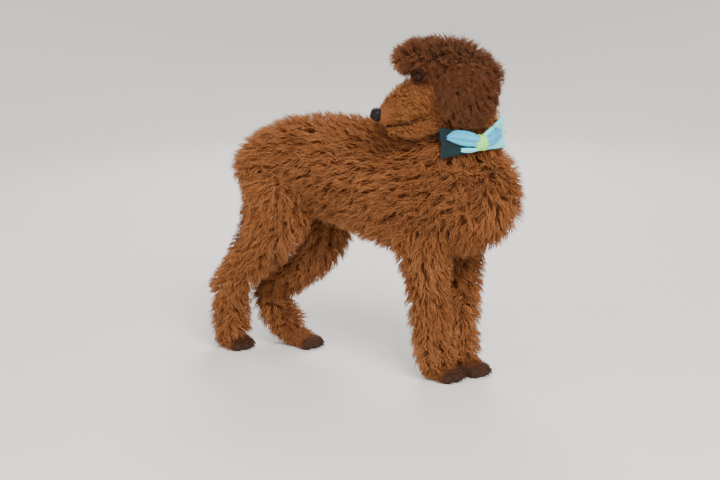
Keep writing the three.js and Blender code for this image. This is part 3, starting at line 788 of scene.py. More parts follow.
def look_of(form):
    """The row of LOOKS for a form."""
    return LOOKS[form.name.split("_")[0]]


def toe_points(x, y, back, high):
    """A point on each toe of a paw, so far behind the paw's tip and so high, after its share across."""
    tip = x + PAW["half_length"] - back
    return [(share, (tip + ahead, y + share * TOE_SPREAD, high)) for share, ahead in TOES]


def skin_parts():
    """Everything that the skin is blended from: forms, toes, eye sockets and brows."""
    parts = [form.tube() for form in FORMS]
    for x, y in PAWS.values():
        parts += [ball(at, TOE_SIZE, 24, 16) for _, at in toe_points(x, y, 17, 7.5)]
    for side in SIDES.values():
        for at, size in ((eye_front(side, -1.5), (EYE_SOCKET,) * 3), (on_side(side, BROW_AT), BROW_SIZE)):
            points, faces = ball(at, size)
            parts.append((from_head(points), faces))
    return parts


# Places on the head


def eye_front(side, out):
    """A point ahead of the middle of an eye, in the head's frame."""
    yaw = math.radians(side * EYE_YAW)
    x, y, z = EYE_AT
    return np.array([x + out * math.cos(yaw), side * y + out * math.sin(yaw), z])


def in_nose(head, grown):
    """Which points of the head's frame are in the nose, grown by some millimetres."""
    return np.linalg.norm((head - NOSE_AT) / (np.array(NOSE_SIZE) + grown), axis=-1) < 1


def at_mouth(head, reach):
    """Which points of the head's frame are at the line of the mouth."""
    edge_x, _, edge_z = np.array(LIP_EDGE).T
    x, y, z = head.T
    near = np.abs(z - np.interp(x, edge_x, edge_z)) < reach
    return near & (x > MOUTH["back"]) & (x < MOUTH["front"]) & (np.abs(y) < MOUTH["half_width"])


def marks_and_painted_shade(name, at):
    """How far each mark covers the points of a form or of the skin: ears and crown, partly painted shade;
    face; dark toes, and painted shade round the eyes.
    """
    head = to_head(at)
    # The face's tan grows along the muzzle.
    on_face = np.abs(head[:, 1]) < 60 if name == "skin" else name in ("muzzle", "jaw", "face")
    face = rising(head[:, 0], 62, 34) * on_face
    # The toes are dark in front, and the hair round the eyes is darkened with painted shade.
    dark = np.zeros(len(at))
    for x, y in PAWS.values():
        toe = rising(at[:, 0] - x, 2, 14) * falling(at[:, 2], 27, 10)
        dark = np.maximum(dark, toe * (np.hypot(at[:, 0] - x, at[:, 1] - y) < 60))
    for side in SIDES.values():
        away = np.linalg.norm(head - eye_front(side, 6), axis=1)
        dark = np.maximum(dark, 0.7 * falling(away, 21, 11))
    # The topknot and the back of the head are nearly as dark as the ears: partly the hair's own darker
    # red-brown, partly painted shade.
    low = -12 - 45 * falling(head[:, 0], 20, 40)
    crown = rising(head[:, 2], low, 30) * falling(head[:, 0], 98, 16)
    crown *= falling(np.linalg.norm(head - (15, 0, 20), axis=1), 125, 20)
    return {"ear_mark": 0.9 * crown, "face_mark": 0.85 * face, "dark_mark": 0.9 * dark}


# Locks


class Coat:
    """Roots of all the locks, on the skin, with their direction, depth and look."""

    def __init__(self, skin, fullness):
        self.draw = np.random.default_rng(COAT_SEED)
        self.sample(*self.triangles(skin, fullness))
        self.describe()
        self.shorten_near_face()
        self.flatten_lie()

    def triangles(self, skin, fullness):
        """Corners, corner normals, wanted number of strands and form of each triangle of the skin."""
        mesh = skin.data
        mesh.calc_loop_triangles()
        index = triples(mesh.loop_triangles, "vertices", np.int32)
        normal = triples(mesh.vertex_normals, "vector").astype(float)
        points = corners(skin)[index]
        edges = points[:, 1:] - points[:, :1]
        area = 0.5 * np.linalg.norm(np.cross(edges[:, 0], edges[:, 1]), axis=1)
        middle = points.mean(1)
        owner, station = np.zeros(len(middle), int), np.zeros(len(middle), int)
        lowest = np.full(len(middle), 1e9)
        for i, form in enumerate(FORMS):
            near, _, height = form.find(middle)
            better = height < lowest
            owner[better], station[better], lowest[better] = i, near[better], height[better]
        dense = np.zeros(len(middle))
        for i, form in enumerate(FORMS):
            mine = owner == i
            near = station[mine]
            spread = (form.half[near] / form.skin[near]).mean(1)
            dense[mine] = look_of(form)[DENSITY] / 100 * np.minimum(spread, 2.6)
        return points, normal[index], area * dense * fullness, owner

    def sample(self, points, normals, weights, owner):
        """Draws the roots evenly over the skin, and leaves out the bare places."""
        keep = self.furry(points.mean(1))
        points, normals, weights, owner = points[keep], normals[keep], weights[keep], owner[keep]
        gone = np.cumsum(weights)
        count = int(gone[-1])
        picks = np.searchsorted(gone, (np.arange(count) + self.draw.random(count)) * gone[-1] / count)
        share = self.draw.random((count, 2))
        flip = share.sum(1) > 1
        share[flip] = 1 - share[flip]
        share = np.column_stack([1 - share.sum(1), share])[:, :, None]
        self.root = (points[picks] * share).sum(1)
        self.normal = unit((normals[picks] * share).sum(1))
        self.owner = owner[picks]

    def furry(self, at):
        """Where locks grow: not on the soles, round the eyes, on the lips, nose or under the collar."""
        grows = at[:, 2] > 5
        head = to_head(at)
        for side in SIDES.values():
            grows &= np.linalg.norm(head - eye_front(side, BARE["ahead"]), axis=1) > BARE["eye"]
        offset = at - COLLAR["at"]
        axis = unit(np.array(COLLAR["axis"], float))
        level = offset @ axis
        apart = np.linalg.norm(offset - level[:, None] * axis, axis=1)
        under_strap = (np.abs(level) < BARE["strap"]) & (apart < COLLAR["radius"])
        return grows & ~at_mouth(head, BARE["lips"]) & ~in_nose(head, BARE["nose"]) & ~under_strap

    def describe(self):
        """Blends the lie, depth and look of the nearby forms at every root."""
        count = len(self.root)
        heights, lies, depths, looks = [], [], [], []
        self.t, self.turn = np.zeros(count), np.zeros(count)
        down = np.array([0.0, 0.0, -1.0])
        for i, form in enumerate(FORMS):
            look = look_of(form)
            near, turn, height = form.find(self.root)
            mine = self.owner == i
            self.t[mine] = near[mine] / (SAMPLES - 1)
            self.turn[mine] = turn[mine] / (2 * np.pi) + 0.5
            heights.append(height)
            lies.append(look[ALONG] * form.along[near] + look[DOWN] * down)
            depths.append(CORE * form.coat[near])
            looks.append(np.tile(look, (count, 1)))
        heights = np.array(heights)
        weight = np.exp(-(heights - heights.min(0)) / BLEND_REACH)
        weight /= weight.sum(0)
        self.lie = (weight[:, :, None] * np.array(lies)).sum(0)
        self.lie += LIE_SCATTER * self.draw.normal(size=(count, 3))
        self.depth = (weight * np.array(depths)).sum(0)
        self.style = (weight[:, :, None] * np.array(looks)).sum(0)

    def shorten_near_face(self):
        """Hair grows ever shorter and finer towards the eyes, the nose and the toes."""
        head = to_head(self.root)
        short = np.ones(len(head))
        eyes = [(eye_front(side, 4), 9, 20, 0.24) for side in SIDES.values()]
        for spot, start, over, least in (*eyes, (NOSE_AT, 10, 26, 0.3)):
            away = np.linalg.norm(head - spot, axis=1)
            short = np.minimum(short, np.maximum(rising(away, start, over), least))
        short *= 1 - 0.55 * marks_and_painted_shade("skin", self.root)["dark_mark"] * (self.root[:, 2] < 60)
        self.depth *= short
        self.style[:, WAVE] *= short
        self.style[:, LOCK] *= 0.5 + 0.5 * short
        self.style[:, WIDTH] *= 0.6 + 0.4 * short

    def flatten_lie(self):
        """Turns the lie into the skin's own plane."""
        across = (self.lie * self.normal).sum(1, keepdims=True)
        self.lie = unit(self.lie - across * self.normal)


def search_tree(points):
    """A tree that finds the nearest of some points."""
    tree = kdtree.KDTree(len(points))
    for i, p in enumerate(points):
        tree.insert(p, i)
    tree.balance()
    return tree


def gather(points, radius, draw):
    """Groups points into locks: the index of the lock's own middle point for each of them."""
    tree = search_tree(points)
    taken = np.zeros(len(points), bool)
    chosen = []
    for i in draw.permutation(len(points)):
        if taken[i]:
            continue
        chosen.append(i)
        for _, j, _ in tree.find_range(points[i], radius[i]):
            taken[j] = True
    middles = search_tree(points[chosen])
    return np.array([chosen[middles.find(p)[1]] for p in points])


def strands(root, normal, lie, depth, style, draw, curl):
    """Points along each strand, its sideways direction, tone and thinness, gathered in locks."""
    count = len(root)
    sections = int(style[0, SECTIONS])
    lock = gather(root, 1.45 * style[:, LOCK], draw)
    # The directions of a strand follow its lock's more than its own place.
    shared = 0.6
    up = unit((1 - shared) * normal + shared * normal[lock])
    way = (1 - shared) * lie + shared * lie[lock]
    way = unit(way - (way * up).sum(1, keepdims=True) * up)
    swirl = np.radians(style[:, SWIRL]) * draw.normal(size=count)[lock]
    way = way * np.cos(swirl)[:, None] + np.cross(up, way) * np.sin(swirl)[:, None]
    side = np.cross(up, way)
    s = np.linspace(0, 1, sections + 1)
    lock_draw = draw.random((count, 6))[lock]
    own = draw.random((count, 6))
    # The strand leans over ever more, and never stands much higher than the coat is deep.
    root_lean = np.radians(style[:, ROOT_LEAN] + 14 * (lock_draw[:, 0] - 0.5))
    tip_lean = np.radians(style[:, TIP_LEAN] + 14 * (lock_draw[:, 1] - 0.5) + 26 * (own[:, 0] - 0.5))
    lean = root_lean[:, None] + (tip_lean - root_lean)[:, None] * s**1.15
    reach = depth * style[:, LENGTH] * (0.92 + 0.16 * lock_draw[:, 2]) * (0.74 + 0.38 * own[:, 1])
    middle = 0.5 * (lean[:, 1:] + lean[:, :-1])
    start = np.zeros((count, 1))
    high = np.concatenate([start, np.cumsum(np.cos(middle), 1) / sections], 1)
    far = np.concatenate([start, np.cumsum(np.sin(middle), 1) / sections], 1)
    high *= np.minimum(reach, 1.16 * depth / np.maximum(high[:, -1], 0.2))[:, None]
    far *= reach[:, None]
    # The waves are the lock's, and grow from the root on.
    waves = style[:, WAVES] * (0.85 + 0.3 * lock_draw[:, 3])
    phase = 2 * np.pi * (lock_draw[:, 4] + 0.1 * (own[:, 2] - 0.5))
    swing = 2 * np.pi * waves[:, None] * s + phase[:, None]
    swell = style[:, WAVE] * curl * (0.7 + 0.6 * lock_draw[:, 5])
    rise = (s / (s + 0.25)) * 1.25
    sway = swell[:, None] * rise * (np.sin(swing) - np.sin(phase)[:, None] * (1 - s))
    lift = 0.55 * swell[:, None] * rise * np.cos(swing)
    # A loose hair stays out of its lock, and is thinner.
    loose = draw.random(count) < STRAY
    pull = np.where(loose, 0.0, style[:, PULL])[:, None] * s**1.25
    points = (
        root[:, None]
        + up[:, None] * (high + lift)[:, :, None]
        + way[:, None] * far[:, :, None]
        + side[:, None] * sway[:, :, None]
        + (root[lock] - root)[:, None] * pull[:, :, None]
    )
    jitter = draw.normal(size=(count, 3)) * np.where(loose, 3.0, 1.5)[:, None]
    points = points + jitter[:, None] * (s**1.5)[None, :, None]
    points[:, 0] -= 0.8 * normal
    tone = 0.5 * draw.random(count)[lock] + 0.5 * draw.random(count)
    return points, side, tone, np.where(loose, 0.55, 1.0)


def tuft_piece(name, points, side, width, tone, marks, chart):
    """One object of closed three-sided tapering strands, with its map and numbers."""
    count, rings, sides = points.shape[0], points.shape[1], 3
    s = np.linspace(0, 1, rings)
    tangent = unit(np.gradient(points, axis=1))
    aside = unit(side[:, None] - (side[:, None] * tangent).sum(2, keepdims=True) * tangent)
    over = np.cross(tangent, aside)
    profile = np.array([0.62, 1.0, 0.98, 0.82, 0.55, 0.16])
    half = 0.5 * width[:, None] * np.interp(s, np.linspace(0, 1, len(profile)), profile)
    angle = np.radians([90, 210, 330])
    ring = (
        points[:, :, None]
        + aside[:, :, None] * (half[:, :, None] * np.cos(angle))[..., None]
        + over[:, :, None] * (0.72 * half[:, :, None] * np.sin(angle))[..., None]
    )
    vertices = np.concatenate([ring[:, :-1].reshape(count, -1, 3), points[:, -1:]], 1)
    each = vertices.shape[1]
    faces = []
    for a, b, c, d in bands(rings - 1, sides):
        faces += [(a, b, c), (a, c, d)]
    last = (rings - 2) * sides
    faces += [(last + j, last + (j + 1) % sides, each - 1) for j in range(sides)]
    faces.append((0, 2, 1))
    index = (np.array(faces)[None] + (np.arange(count) * each)[:, None, None]).reshape(-1)
    total = len(index) // 3
    mesh = bpy.data.meshes.new(name)
    mesh.vertices.add(count * each)
    mesh.vertices.foreach_set("co", placed(vertices.reshape(-1, 3)).astype(np.float32).ravel())
    mesh.loops.add(len(index))
    mesh.loops.foreach_set("vertex_index", index.astype(np.int32))
    mesh.polygons.add(total)
    mesh.polygons.foreach_set("loop_start", np.arange(0, len(index), 3, dtype=np.int32))
    mesh.polygons.foreach_set("loop_total", np.full(total, 3, np.int32))
    mesh.update(calc_edges=True)
    mesh.shade_smooth()
    reach = np.append(np.repeat(s[:-1], sides), 1.0)
    spin = np.append(np.tile([0.1, 0.9, 0.5], rings - 1), 0.5)
    maps = np.stack([chart[:, 0:1] + UV_PATCH * spin, chart[:, 1:2] + UV_PATCH * reach], 2).reshape(-1, 2)
    mesh.uv_layers.new(name="OFBake").data.foreach_set("uv", maps[index].astype(np.float32).ravel())
    piece = linked(name, mesh)
    number_attributes(piece, {"along": np.tile(reach, count), "tone": np.repeat(tone, each)})
    number_attributes(piece, {key: np.repeat(values, each) for key, values in marks.items()})
    return piece


def clear_of_face(points):
    """Which strands keep out of the sight of the eyes, the nose and the line of the mouth."""
    head = to_head(points.reshape(-1, 3)).reshape(points.shape)
    clear = ~in_nose(head, 0.4).any(1) & ~at_mouth(head[:, -1], 0.9)
    for side in SIDES.values():
        offset = head - eye_front(side, 0)
        for turn in SIGHT["turns"]:
            yaw = math.radians(side * (EYE_YAW + turn))
            gaze = np.array([math.cos(yaw), math.sin(yaw), SIGHT["rise"]])
            ahead = offset @ gaze
            apart = np.linalg.norm(offset - ahead[..., None] * gaze, axis=2)
            in_sight = (ahead > SIGHT["start"]) & (apart < SIGHT["radius"]) & (ahead < SIGHT["end"])
            clear &= ~in_sight.any(1)
    return clear


def ear_bowl(ring, angle):
    """Places on the outer face of an ear's flap: ahead, out from the head and up from its middle."""
    long, thick, high = (size - EAR_HAIR for size in EAR_SIZE)
    height = np.where(angle < np.pi, EAR_TOP, 1 - 0.2 * np.clip(np.cos(angle), 0, 1))
    out = thick * np.sqrt(np.maximum(1 - ring**2, 0))
    return ring * long * np.cos(angle), out, ring * high * np.sin(angle) * height


def on_ear(side, x, out, z):
    """Places on an ear, in the dog's frame."""
    return from_head(np.stack([x, side * out, z], 1) @ EAR_TURN.T + on_side(side, EAR_AT))


def ear_flap(side):
    """The skin of an ear as a closed, thin, cupped flap."""
    inward = HEAD_TURN @ np.array([0, -side * EAR_THICK, 0])
    shares = np.linspace(0, 1, EAR_STEPS // 2)[1:]
    outer = [on_ear(side, *ear_bowl(np.full(EAR_STEPS, share), circle(EAR_STEPS))) for share in shares]
    middle = on_ear(side, *ear_bowl(np.zeros(1), np.zeros(1)))[0]
    inner = [ring + inward for ring in reversed(outer)]
    points, faces = lofted(outer + inner, [middle, middle + inward])
    return points, flipped(faces) if side < 0 else faces


def ear_roots(side, count, draw):
    """Roots, normals, lie and map places of the locks on an ear, most of them outside."""
    long, thick, high = (size - EAR_HAIR for size in EAR_SIZE)
    at_rim = draw.random(count) < 0.14
    ring = np.where(at_rim, 0.97 + 0.03 * draw.random(count), np.sqrt(draw.random(count)))
    angle = 2 * np.pi * draw.random(count)
    inside = draw.random(count) < 0.16
    x, out, z = ear_bowl(ring, angle)
    normal = unit(np.stack([x / long**2, side * np.maximum(out, 1.5) / thick**2, z / high**2], 1))
    normal[inside] = (0, -side, 0)
    root = on_ear(side, x, np.where(inside, out - EAR_THICK, out), z)
    upper = rising(z, 0, high)
    fan = np.stack([(0.35 + 0.5 * upper) * x / long, 0.2 * side * upper, 1.1 * upper - 1], 1)
    lie = unit(fan) @ EAR_TURN.T @ HEAD_TURN.T
    place = np.stack([0.5 + 0.45 * ring * np.cos(angle), 0.5 + 0.45 * ring * np.sin(angle)], 1)
    return root, unit(normal @ EAR_TURN.T @ HEAD_TURN.T), lie, place, inside, upper


# Sizes and colours that a user would change


def hue(name, description, default):
    """A colour that a user would change."""
    return FloatVectorProperty(name=name, description=description, subtype="COLOR", default=default)


class CoatLook(bpy.types.PropertyGroup):
    """Colours and fullness of the coat"""

    coat_colour: hue("Coat", "Rust-red apricot of the body", (0.3, 0.099, 0.028))
    light_colour: hue("Lighter coat", "Lighter patches of the coat", (0.42, 0.157, 0.051))
    # The ears and topknot: a darker red-brown, partly the hair's own colour and partly painted shade.
    ear_colour: hue("Ears", "Redder, darker hair of the ears and the topknot", (0.125, 0.035, 0.0125))
    face_colour: hue("Muzzle", "Orange tan of the muzzle", (0.37, 0.142, 0.039))
    # Dark brown of the toes, and painted shade on the hair round the eyes.
    dark_colour: hue("Dark markings", "Dark brown of the toes and round the eyes", (0.026, 0.0105, 0.008))
    root_shade: hue("Root shade", "What the colour is multiplied by at the root", (0.6, 0.48, 0.42))
    tip_colour: hue("Tips", "Sun-bleached tips of the locks", (0.62, 0.29, 0.11))
    fullness: FloatProperty(
        name="Fullness",
        description="Number of strands, as a share of the usual",
        default=1.0,
        min=0.1,
        max=1.1,
        subtype="FACTOR",
    )
    curl: FloatProperty(
        name="Curl",
        description="Height of the waves in the locks, as a share of the usual",
        default=1.0,
        min=0.0,
        max=2.0,
        subtype="FACTOR",
    )


class FaceLook(bpy.types.PropertyGroup):
    """Sizes and colours of the eyes, nose and lips"""

    eye_radius: FloatProperty(
        name="Eye radius",
        description="Radius of an eyeball",
        default=0.0095,
        min=0.007,
        max=0.012,
        unit="LENGTH",
    )
    iris_colour: hue("Iris", "Dark brown of the iris", (0.022, 0.008, 0.004))
    nose_colour: hue("Nose", "Black of the nose", (0.006, 0.005, 0.0055))
    lip_colour: hue("Lips", "Dark skin of the lips and lids", (0.028, 0.007, 0.005))


class WearLook(bpy.types.PropertyGroup):
    """Sizes and colours of the collar and the bow tie"""

    bow_colour: hue("Bow", "Light blue of the bow's upper layer", (0.05, 0.43, 0.67))
    lit_colour: hue("Lit wing", "Pale blue of the right wing", (0.17, 0.8, 0.92))
    # The layer below is the same satin, darkened with painted shade.
    under_shade_colour: hue("Under layer", "Deeper blue-green of the layer below", (0.006, 0.022, 0.028))
    # The right wing's fold is the same satin, deepened with painted shade.
    fold_shade_colour: hue("Fold", "Bluer fold of the right wing", (0.02, 0.32, 0.62))
    knot_colour: hue("Knot", "Pale yellowish green of the knot", (0.3, 0.82, 0.2))
    wing_length: FloatProperty(
        name="Wing length",
        description="From the knot to the outer edge of a wing",
        default=0.053,
        min=0.03,
        max=0.08,
        unit="LENGTH",
    )


class StageLook(bpy.types.PropertyGroup):
    """Floor, lights and camera"""

    floor_colour: hue("Floor", "Pale, plain floor", (0.84, 0.83, 0.81))
    focal_length: FloatProperty(
        name="Focal length",
        description="Of the camera, in millimetres",
        default=68.35,
        min=20,
        max=200,
    )
    key_power: FloatProperty(
        name="Key light",
        description="Power of the main light in watts",
        default=160.0,
        min=0.0,
        max=1000.0,
        unit="POWER",
    )


class Shared:
    """What one operator makes and the next ones use."""

    skin = None


class POODLE_OT_skin(bpy.types.Operator):
    """Build the one skin that stands for all the flesh"""

    bl_idname = "poodle.skin"
    bl_label = "Skin"

    def execute(self, context):
        rough = mesh_object("skin_rough", *merged(skin_parts()))
        remesh = rough.modifiers.new("Union", "REMESH")
        remesh.mode = "VOXEL"
        remesh.voxel_size = VOXEL
        soft = rough.modifiers.new("Soften", "SMOOTH")
        soft.factor = 0.5
        soft.iterations = 7
        mesh = bpy.data.meshes.new_from_object(rough.evaluated_get(context.evaluated_depsgraph_get()))
        bpy.data.objects.remove(rough)
        skin = linked("skin", mesh)
        at = corners(skin)
        at[:, 2] = np.maximum(at[:, 2], LOWEST_SKIN)
        mesh.vertices.foreach_set("co", placed(at).astype(np.float32).ravel())
        mesh.shade_smooth()
        mesh.update()
        number_attributes(skin, marks_and_painted_shade("skin", at))
        nodes = [n for n in FLESH if not n.startswith("ear")]
        dress(skin, skin_material(context.scene.poodle_coat), "coat", *nodes)
        Shared.skin = skin
        return {"FINISHED"}


class POODLE_OT_coat(bpy.types.Operator):
    """Build the curly coat over the skin"""

    bl_idname = "poodle.coat"
    bl_label = "Coat"

    def execute(self, context):
        look = context.scene.poodle_coat
        if Shared.skin is None:
            raise RuntimeError("build the skin before the coat")
        coat = Coat(Shared.skin, look.fullness)
        hair = coat_material(look)
        for name, (members, low, high) in COAT_PIECES.items():
            order = [FORM_INDEX[member] for member in members]
            wanted = np.isin(coat.owner, order) & (coat.root[:, 0] > low) & (coat.root[:, 0] <= high)
            self.build(name, order, coat, np.flatnonzero(wanted), hair, look.curl)
        return {"FINISHED"}

    def build(self, name, order, coat, chosen, hair, curl):
        """One piece of the coat, from the roots chosen for it."""
        draw = np.random.default_rng(len(name) * 7 + len(chosen))
        root, normal, owner = coat.root[chosen], coat.normal[chosen], coat.owner[chosen]
        lie, depth, style = coat.lie[chosen], coat.depth[chosen], coat.style[chosen]
        style[:, SECTIONS] = look_of(FORMS[order[0]])[SECTIONS]
        points, side, tone, thin = strands(root, normal, lie, depth, style, draw, curl)
        points[..., 2] = np.maximum(points[..., 2], LOWEST_HAIR)
        marks = {}
        for i in order:
            mine = owner == i
            for key, values in marks_and_painted_shade(FORMS[i].name, root[mine]).items():
                marks.setdefault(key, np.zeros(len(chosen)))[mine] = values
        # On the map each form has a column of its own: the turn round it across, its length up.
        column = np.array([order.index(i) for i in owner])
        u = (column + 0.02 + 0.94 * coat.turn[chosen]) / len(order)
        chart = np.stack([u, 0.01 + 0.97 * coat.t[chosen]], 1)
        keep = clear_of_face(points)
        marks = {key: values[keep] for key, values in marks.items()}
        width = style[keep, WIDTH] * thin[keep]
        piece = tuft_piece(name, points[keep], side[keep], width, tone[keep], marks, chart[keep])
        dress(piece, hair, "paw_coat" if name == "coat_paws" else "coat")


class POODLE_OT_ears(bpy.types.Operator):
    """Build the hanging ears, each a cupped flap with long locks"""

    bl_idname = "poodle.ears"
    bl_label = "Ears"

    def execute(self, context):
        look = context.scene.poodle_coat
        hair = coat_material(look)
        skin = skin_material(look)
        for name, side in SIDES.items():
            flap = mesh_object(f"ear_flap_{name}", *ear_flap(side))
            number_attributes(flap, self.marks(0.9, len(flap.data.vertices)))
            dress(flap, skin, "ear_coat", f"ear_{name}")
            draw = np.random.default_rng(EAR_SEED + side)
            count = int(EAR_STRANDS * look.fullness)
            root, normal, lie, place, inside, upper = ear_roots(side, count, draw)
            rim = rising(np.hypot(*(place - 0.5).T) / 0.45, 0.7, 0.3)
            style = np.tile(np.array(LOOKS["ear"], float), (count, 1))
            style[inside, LOCK] = 3.0
            style[inside, LENGTH] = 1.3
            style[:, TIP_LEAN] -= 16 * upper
            style[:, PULL] *= 1 - 0.8 * rim
            style[:, WAVE] *= 1 - 0.5 * rim
            depth = (12.0 + 2 * draw.random(count)) * (1 - 0.35 * upper) * (1 - 0.4 * rim)
            depth[inside] = 4.0
            lie = lie + 0.25 * draw.normal(size=lie.shape)
            points, sideways, tone, thin = strands(root, normal, lie, depth, style, draw, look.curl)
            width, chart = style[:, WIDTH] * thin, 0.02 + 0.95 * place
            marks = self.marks(0.95, count)
            tufts = tuft_piece(f"coat_ear_{name}", points, sideways, width, tone, marks, chart)
            dress(tufts, hair, "ear_coat")
        return {"FINISHED"}

    def marks(self, ear, count):
        """The marks of an ear, the same all over it: its darker colour, which is partly painted shade."""
        return {"ear_mark": np.full(count, ear), "face_mark": np.zeros(count), "dark_mark": np.zeros(count)}


class POODLE_OT_eyes(bpy.types.Operator):
    """Build the eyes and their lids"""

    bl_idname = "poodle.eyes"
    bl_label = "Eyes"

    def execute(self, context):
        look = context.scene.poodle_face
        surface = eye_material(look.iris_colour)
        rim = dark_skin_material("lid_skin", shade(look.lip_colour, 0.4), 0.5)
        radius = look.eye_radius * 1000
        for name, side in SIDES.items():
            points, faces = ball((0, 0, 0), (radius, radius, radius), 64, 48)
            gaze = unit(eye_front(side, 1) - eye_front(side, 0))
            out = np.degrees(np.arccos(np.clip(unit(points) @ gaze, -1, 1)))
            points = points * (1 + 0.045 * np.clip(1 - (out / 38) ** 2, 0, 1))[:, None]
            eye = mesh_object(f"eyeball_{name}", from_head(points + on_side(side, EYE_AT)), faces)
            number_attributes(eye, {"eye_angle": out})
            dress(eye, surface, "eye", f"eye_{name}")
            dress(mesh_object(f"eyelids_{name}", *self.lids(side, radius)), rim, "nose_skin")
        return {"FINISHED"}

    def lids(self, side, radius):
        """Two lids in one ring: an almond edge, a rounded rim, a crease and a flange into the skin."""
        turn = circle(72)
        # Angles from the gaze, in degrees: the almond edge, and where the flange ends in the skin.
        edge = np.stack([47 * np.cos(turn), 33 * np.sin(turn) * (1 - 0.24 * np.abs(np.cos(turn)))], 1)
        edge[:, 1] += 2
        far = np.stack([80 * np.cos(turn), 72 * np.sin(turn)], 1)
        # Each ring: its share of the way from the edge to the end, and its height over the eye.
        shares = (0.0, 0.0, 0.06, 0.16, 0.3, 0.45, 0.7, 1.0)
        rises = (-0.6, 0.4, 0.9, 1.0, 0.7, 0.9, 0.5, -1.0)
        yaw = math.radians(side * EYE_YAW)
        gaze = np.array([math.cos(yaw), math.sin(yaw), 0])
        aside = np.array([-math.sin(yaw), math.cos(yaw), 0])
        rings = []
        for share, rise in zip(shares, rises):
            angle = np.radians(edge + share * (far - edge))
            level = np.hypot(angle[:, 0], angle[:, 1])
            across = np.sin(level) / np.maximum(level, 1e-6)
            way = gaze * np.cos(level)[:, None] + aside * (angle[:, 0] * across)[:, None]
            way = way + np.array([0, 0, 1]) * (angle[:, 1] * across)[:, None]
            rings.append((radius + rise) * way)
        rings.append(0.9 * rings[-1])
        points = from_head(np.vstack(rings) + on_side(side, EYE_AT))
        return points, flipped(bands(len(rings), len(turn), True))


class POODLE_OT_nose(bpy.types.Operator):
    """Build the nose with its nostrils and the groove below it"""

    bl_idname = "poodle.nose"
    bl_label = "Nose"

    def execute(self, context):
        points, faces = ball((0, 0, 0), (1, 1, 1), 112, 80)
        x, y, z = points.T
        front = np.clip(x, 0, 1)
        above, below = np.clip(z, 0, 1), np.clip(-z, 0, 1)
        shape = np.stack([np.where(x > 0, 0.92 * front**0.62, x), np.sign(y) * np.abs(y) ** 0.86, z], 1)
        shape[:, 1] *= 1 + 0.1 * front * (1 - np.abs(z + 0.2)) - 0.18 * below
        shape[:, 2] -= 0.2 * front * above
        shape[:, 0] -= 0.34 * front * below**1.3 + 0.1 * front * above
        for side in SIDES.values():
            hole = np.hypot((y - side * 0.46) / 0.24, (z + 0.04 - 0.3 * (side * y - 0.46)) / 0.27)
            slit = np.hypot((side * y - 0.78) / 0.26, (z + 0.24) / 0.1)
            dent = np.clip(1 - hole**2, 0, 1) * 0.6 + np.clip(1 - slit**2, 0, 1) * 0.28
            ridge = np.exp(-((hole - 1.2) ** 2) / 0.05) * 0.05
            shape[:, 0] += (ridge - dent) * front**0.5
        groove = np.exp(-((y / 0.07) ** 2)) * np.clip(0.35 - z, 0, 1)
        shape[:, 0] -= groove * 0.14 * front
        nose = mesh_object("nose_leather", from_head(shape * np.array(NOSE_SIZE) + NOSE_AT), faces)
        dress(nose, nose_material(context.scene.poodle_face.nose_colour), "nose_skin", "nose")
        return {"FINISHED"}


class POODLE_OT_lips(bpy.types.Operator):
    """Build the dark lips along the line of the mouth"""

    bl_idname = "poodle.lips"
    bl_label = "Lips"

    def execute(self, context):
        parts = []
        line = spline(LIP_EDGE + [(x, -y, z) for x, y, z in reversed(LIP_EDGE)], 90)
        inward = unit(np.gradient(line, axis=0))
        out = unit(np.stack([-inward[:, 1], inward[:, 0], np.zeros(len(line))], 1))
        up = np.array([0, 0, 1])
        turn = circle(14)
        # The upper and the lower lip: on which side of the line, how wide and how high.
        for way, width, high in ((1, 1.7, 1.0), (-1, 1.6, 0.9)):
            rings = []
            for i in range(len(line)):
                share = i / (len(line) - 1)
                taper = 0.25 + 0.75 * min(1.0, 6 * share, 6 * (1 - share))
                ripple = 1 + 0.06 * math.sin(40 * share)
                middle = line[i] - out[i] * 5.4 + up * (way * (high * taper + 0.15))
                ring = middle + out[i] * (width * taper * ripple * np.cos(turn))[:, None]
                rings.append(ring + up * (high * taper * np.sin(turn))[:, None])
            parts.append(lofted(rings, [rings[0].mean(0), rings[-1].mean(0)]))
        points, faces = merged(parts)
        lips = mesh_object("lips", from_head(points), faces)
        dress(lips, dark_skin_material("lip_skin", context.scene.poodle_face.lip_colour, 0.45), "nose_skin")
        return {"FINISHED"}


class POODLE_OT_claws(bpy.types.Operator):
    """Build four claws on each paw"""

    bl_idname = "poodle.claws"
    bl_label = "Claws"

    def execute(self, context):
        horn = horn_material()
        for name, (x, y) in PAWS.items():
            parts = [self.claw(share, np.array(base)) for share, base in toe_points(x, y, 7, 8.5)]
            dress(mesh_object(f"claws_{name}", *merged(parts)), horn, "nose_skin")
        return {"FINISHED"}

    def claw(self, share, base):
        """A claw that curves forwards and down, away from the paw's middle."""
        turn = circle(14)
        rings = []
        for s in np.linspace(0, 1, 9)[:-1]:
            middle = base + np.array([7.6 * s, 1.2 * share * s, -4.2 * s**1.6])
            size = 2.7 * (1 - 0.6 * s**1.4)
            ring = np.stack([0.3 * size * np.sin(turn), 0.8 * size * np.cos(turn), size * np.sin(turn)], 1)
            rings.append(middle + ring)
        return lofted(rings, [rings[0].mean(0), base + np.array([8.2, 1.2 * share, -5.0])])


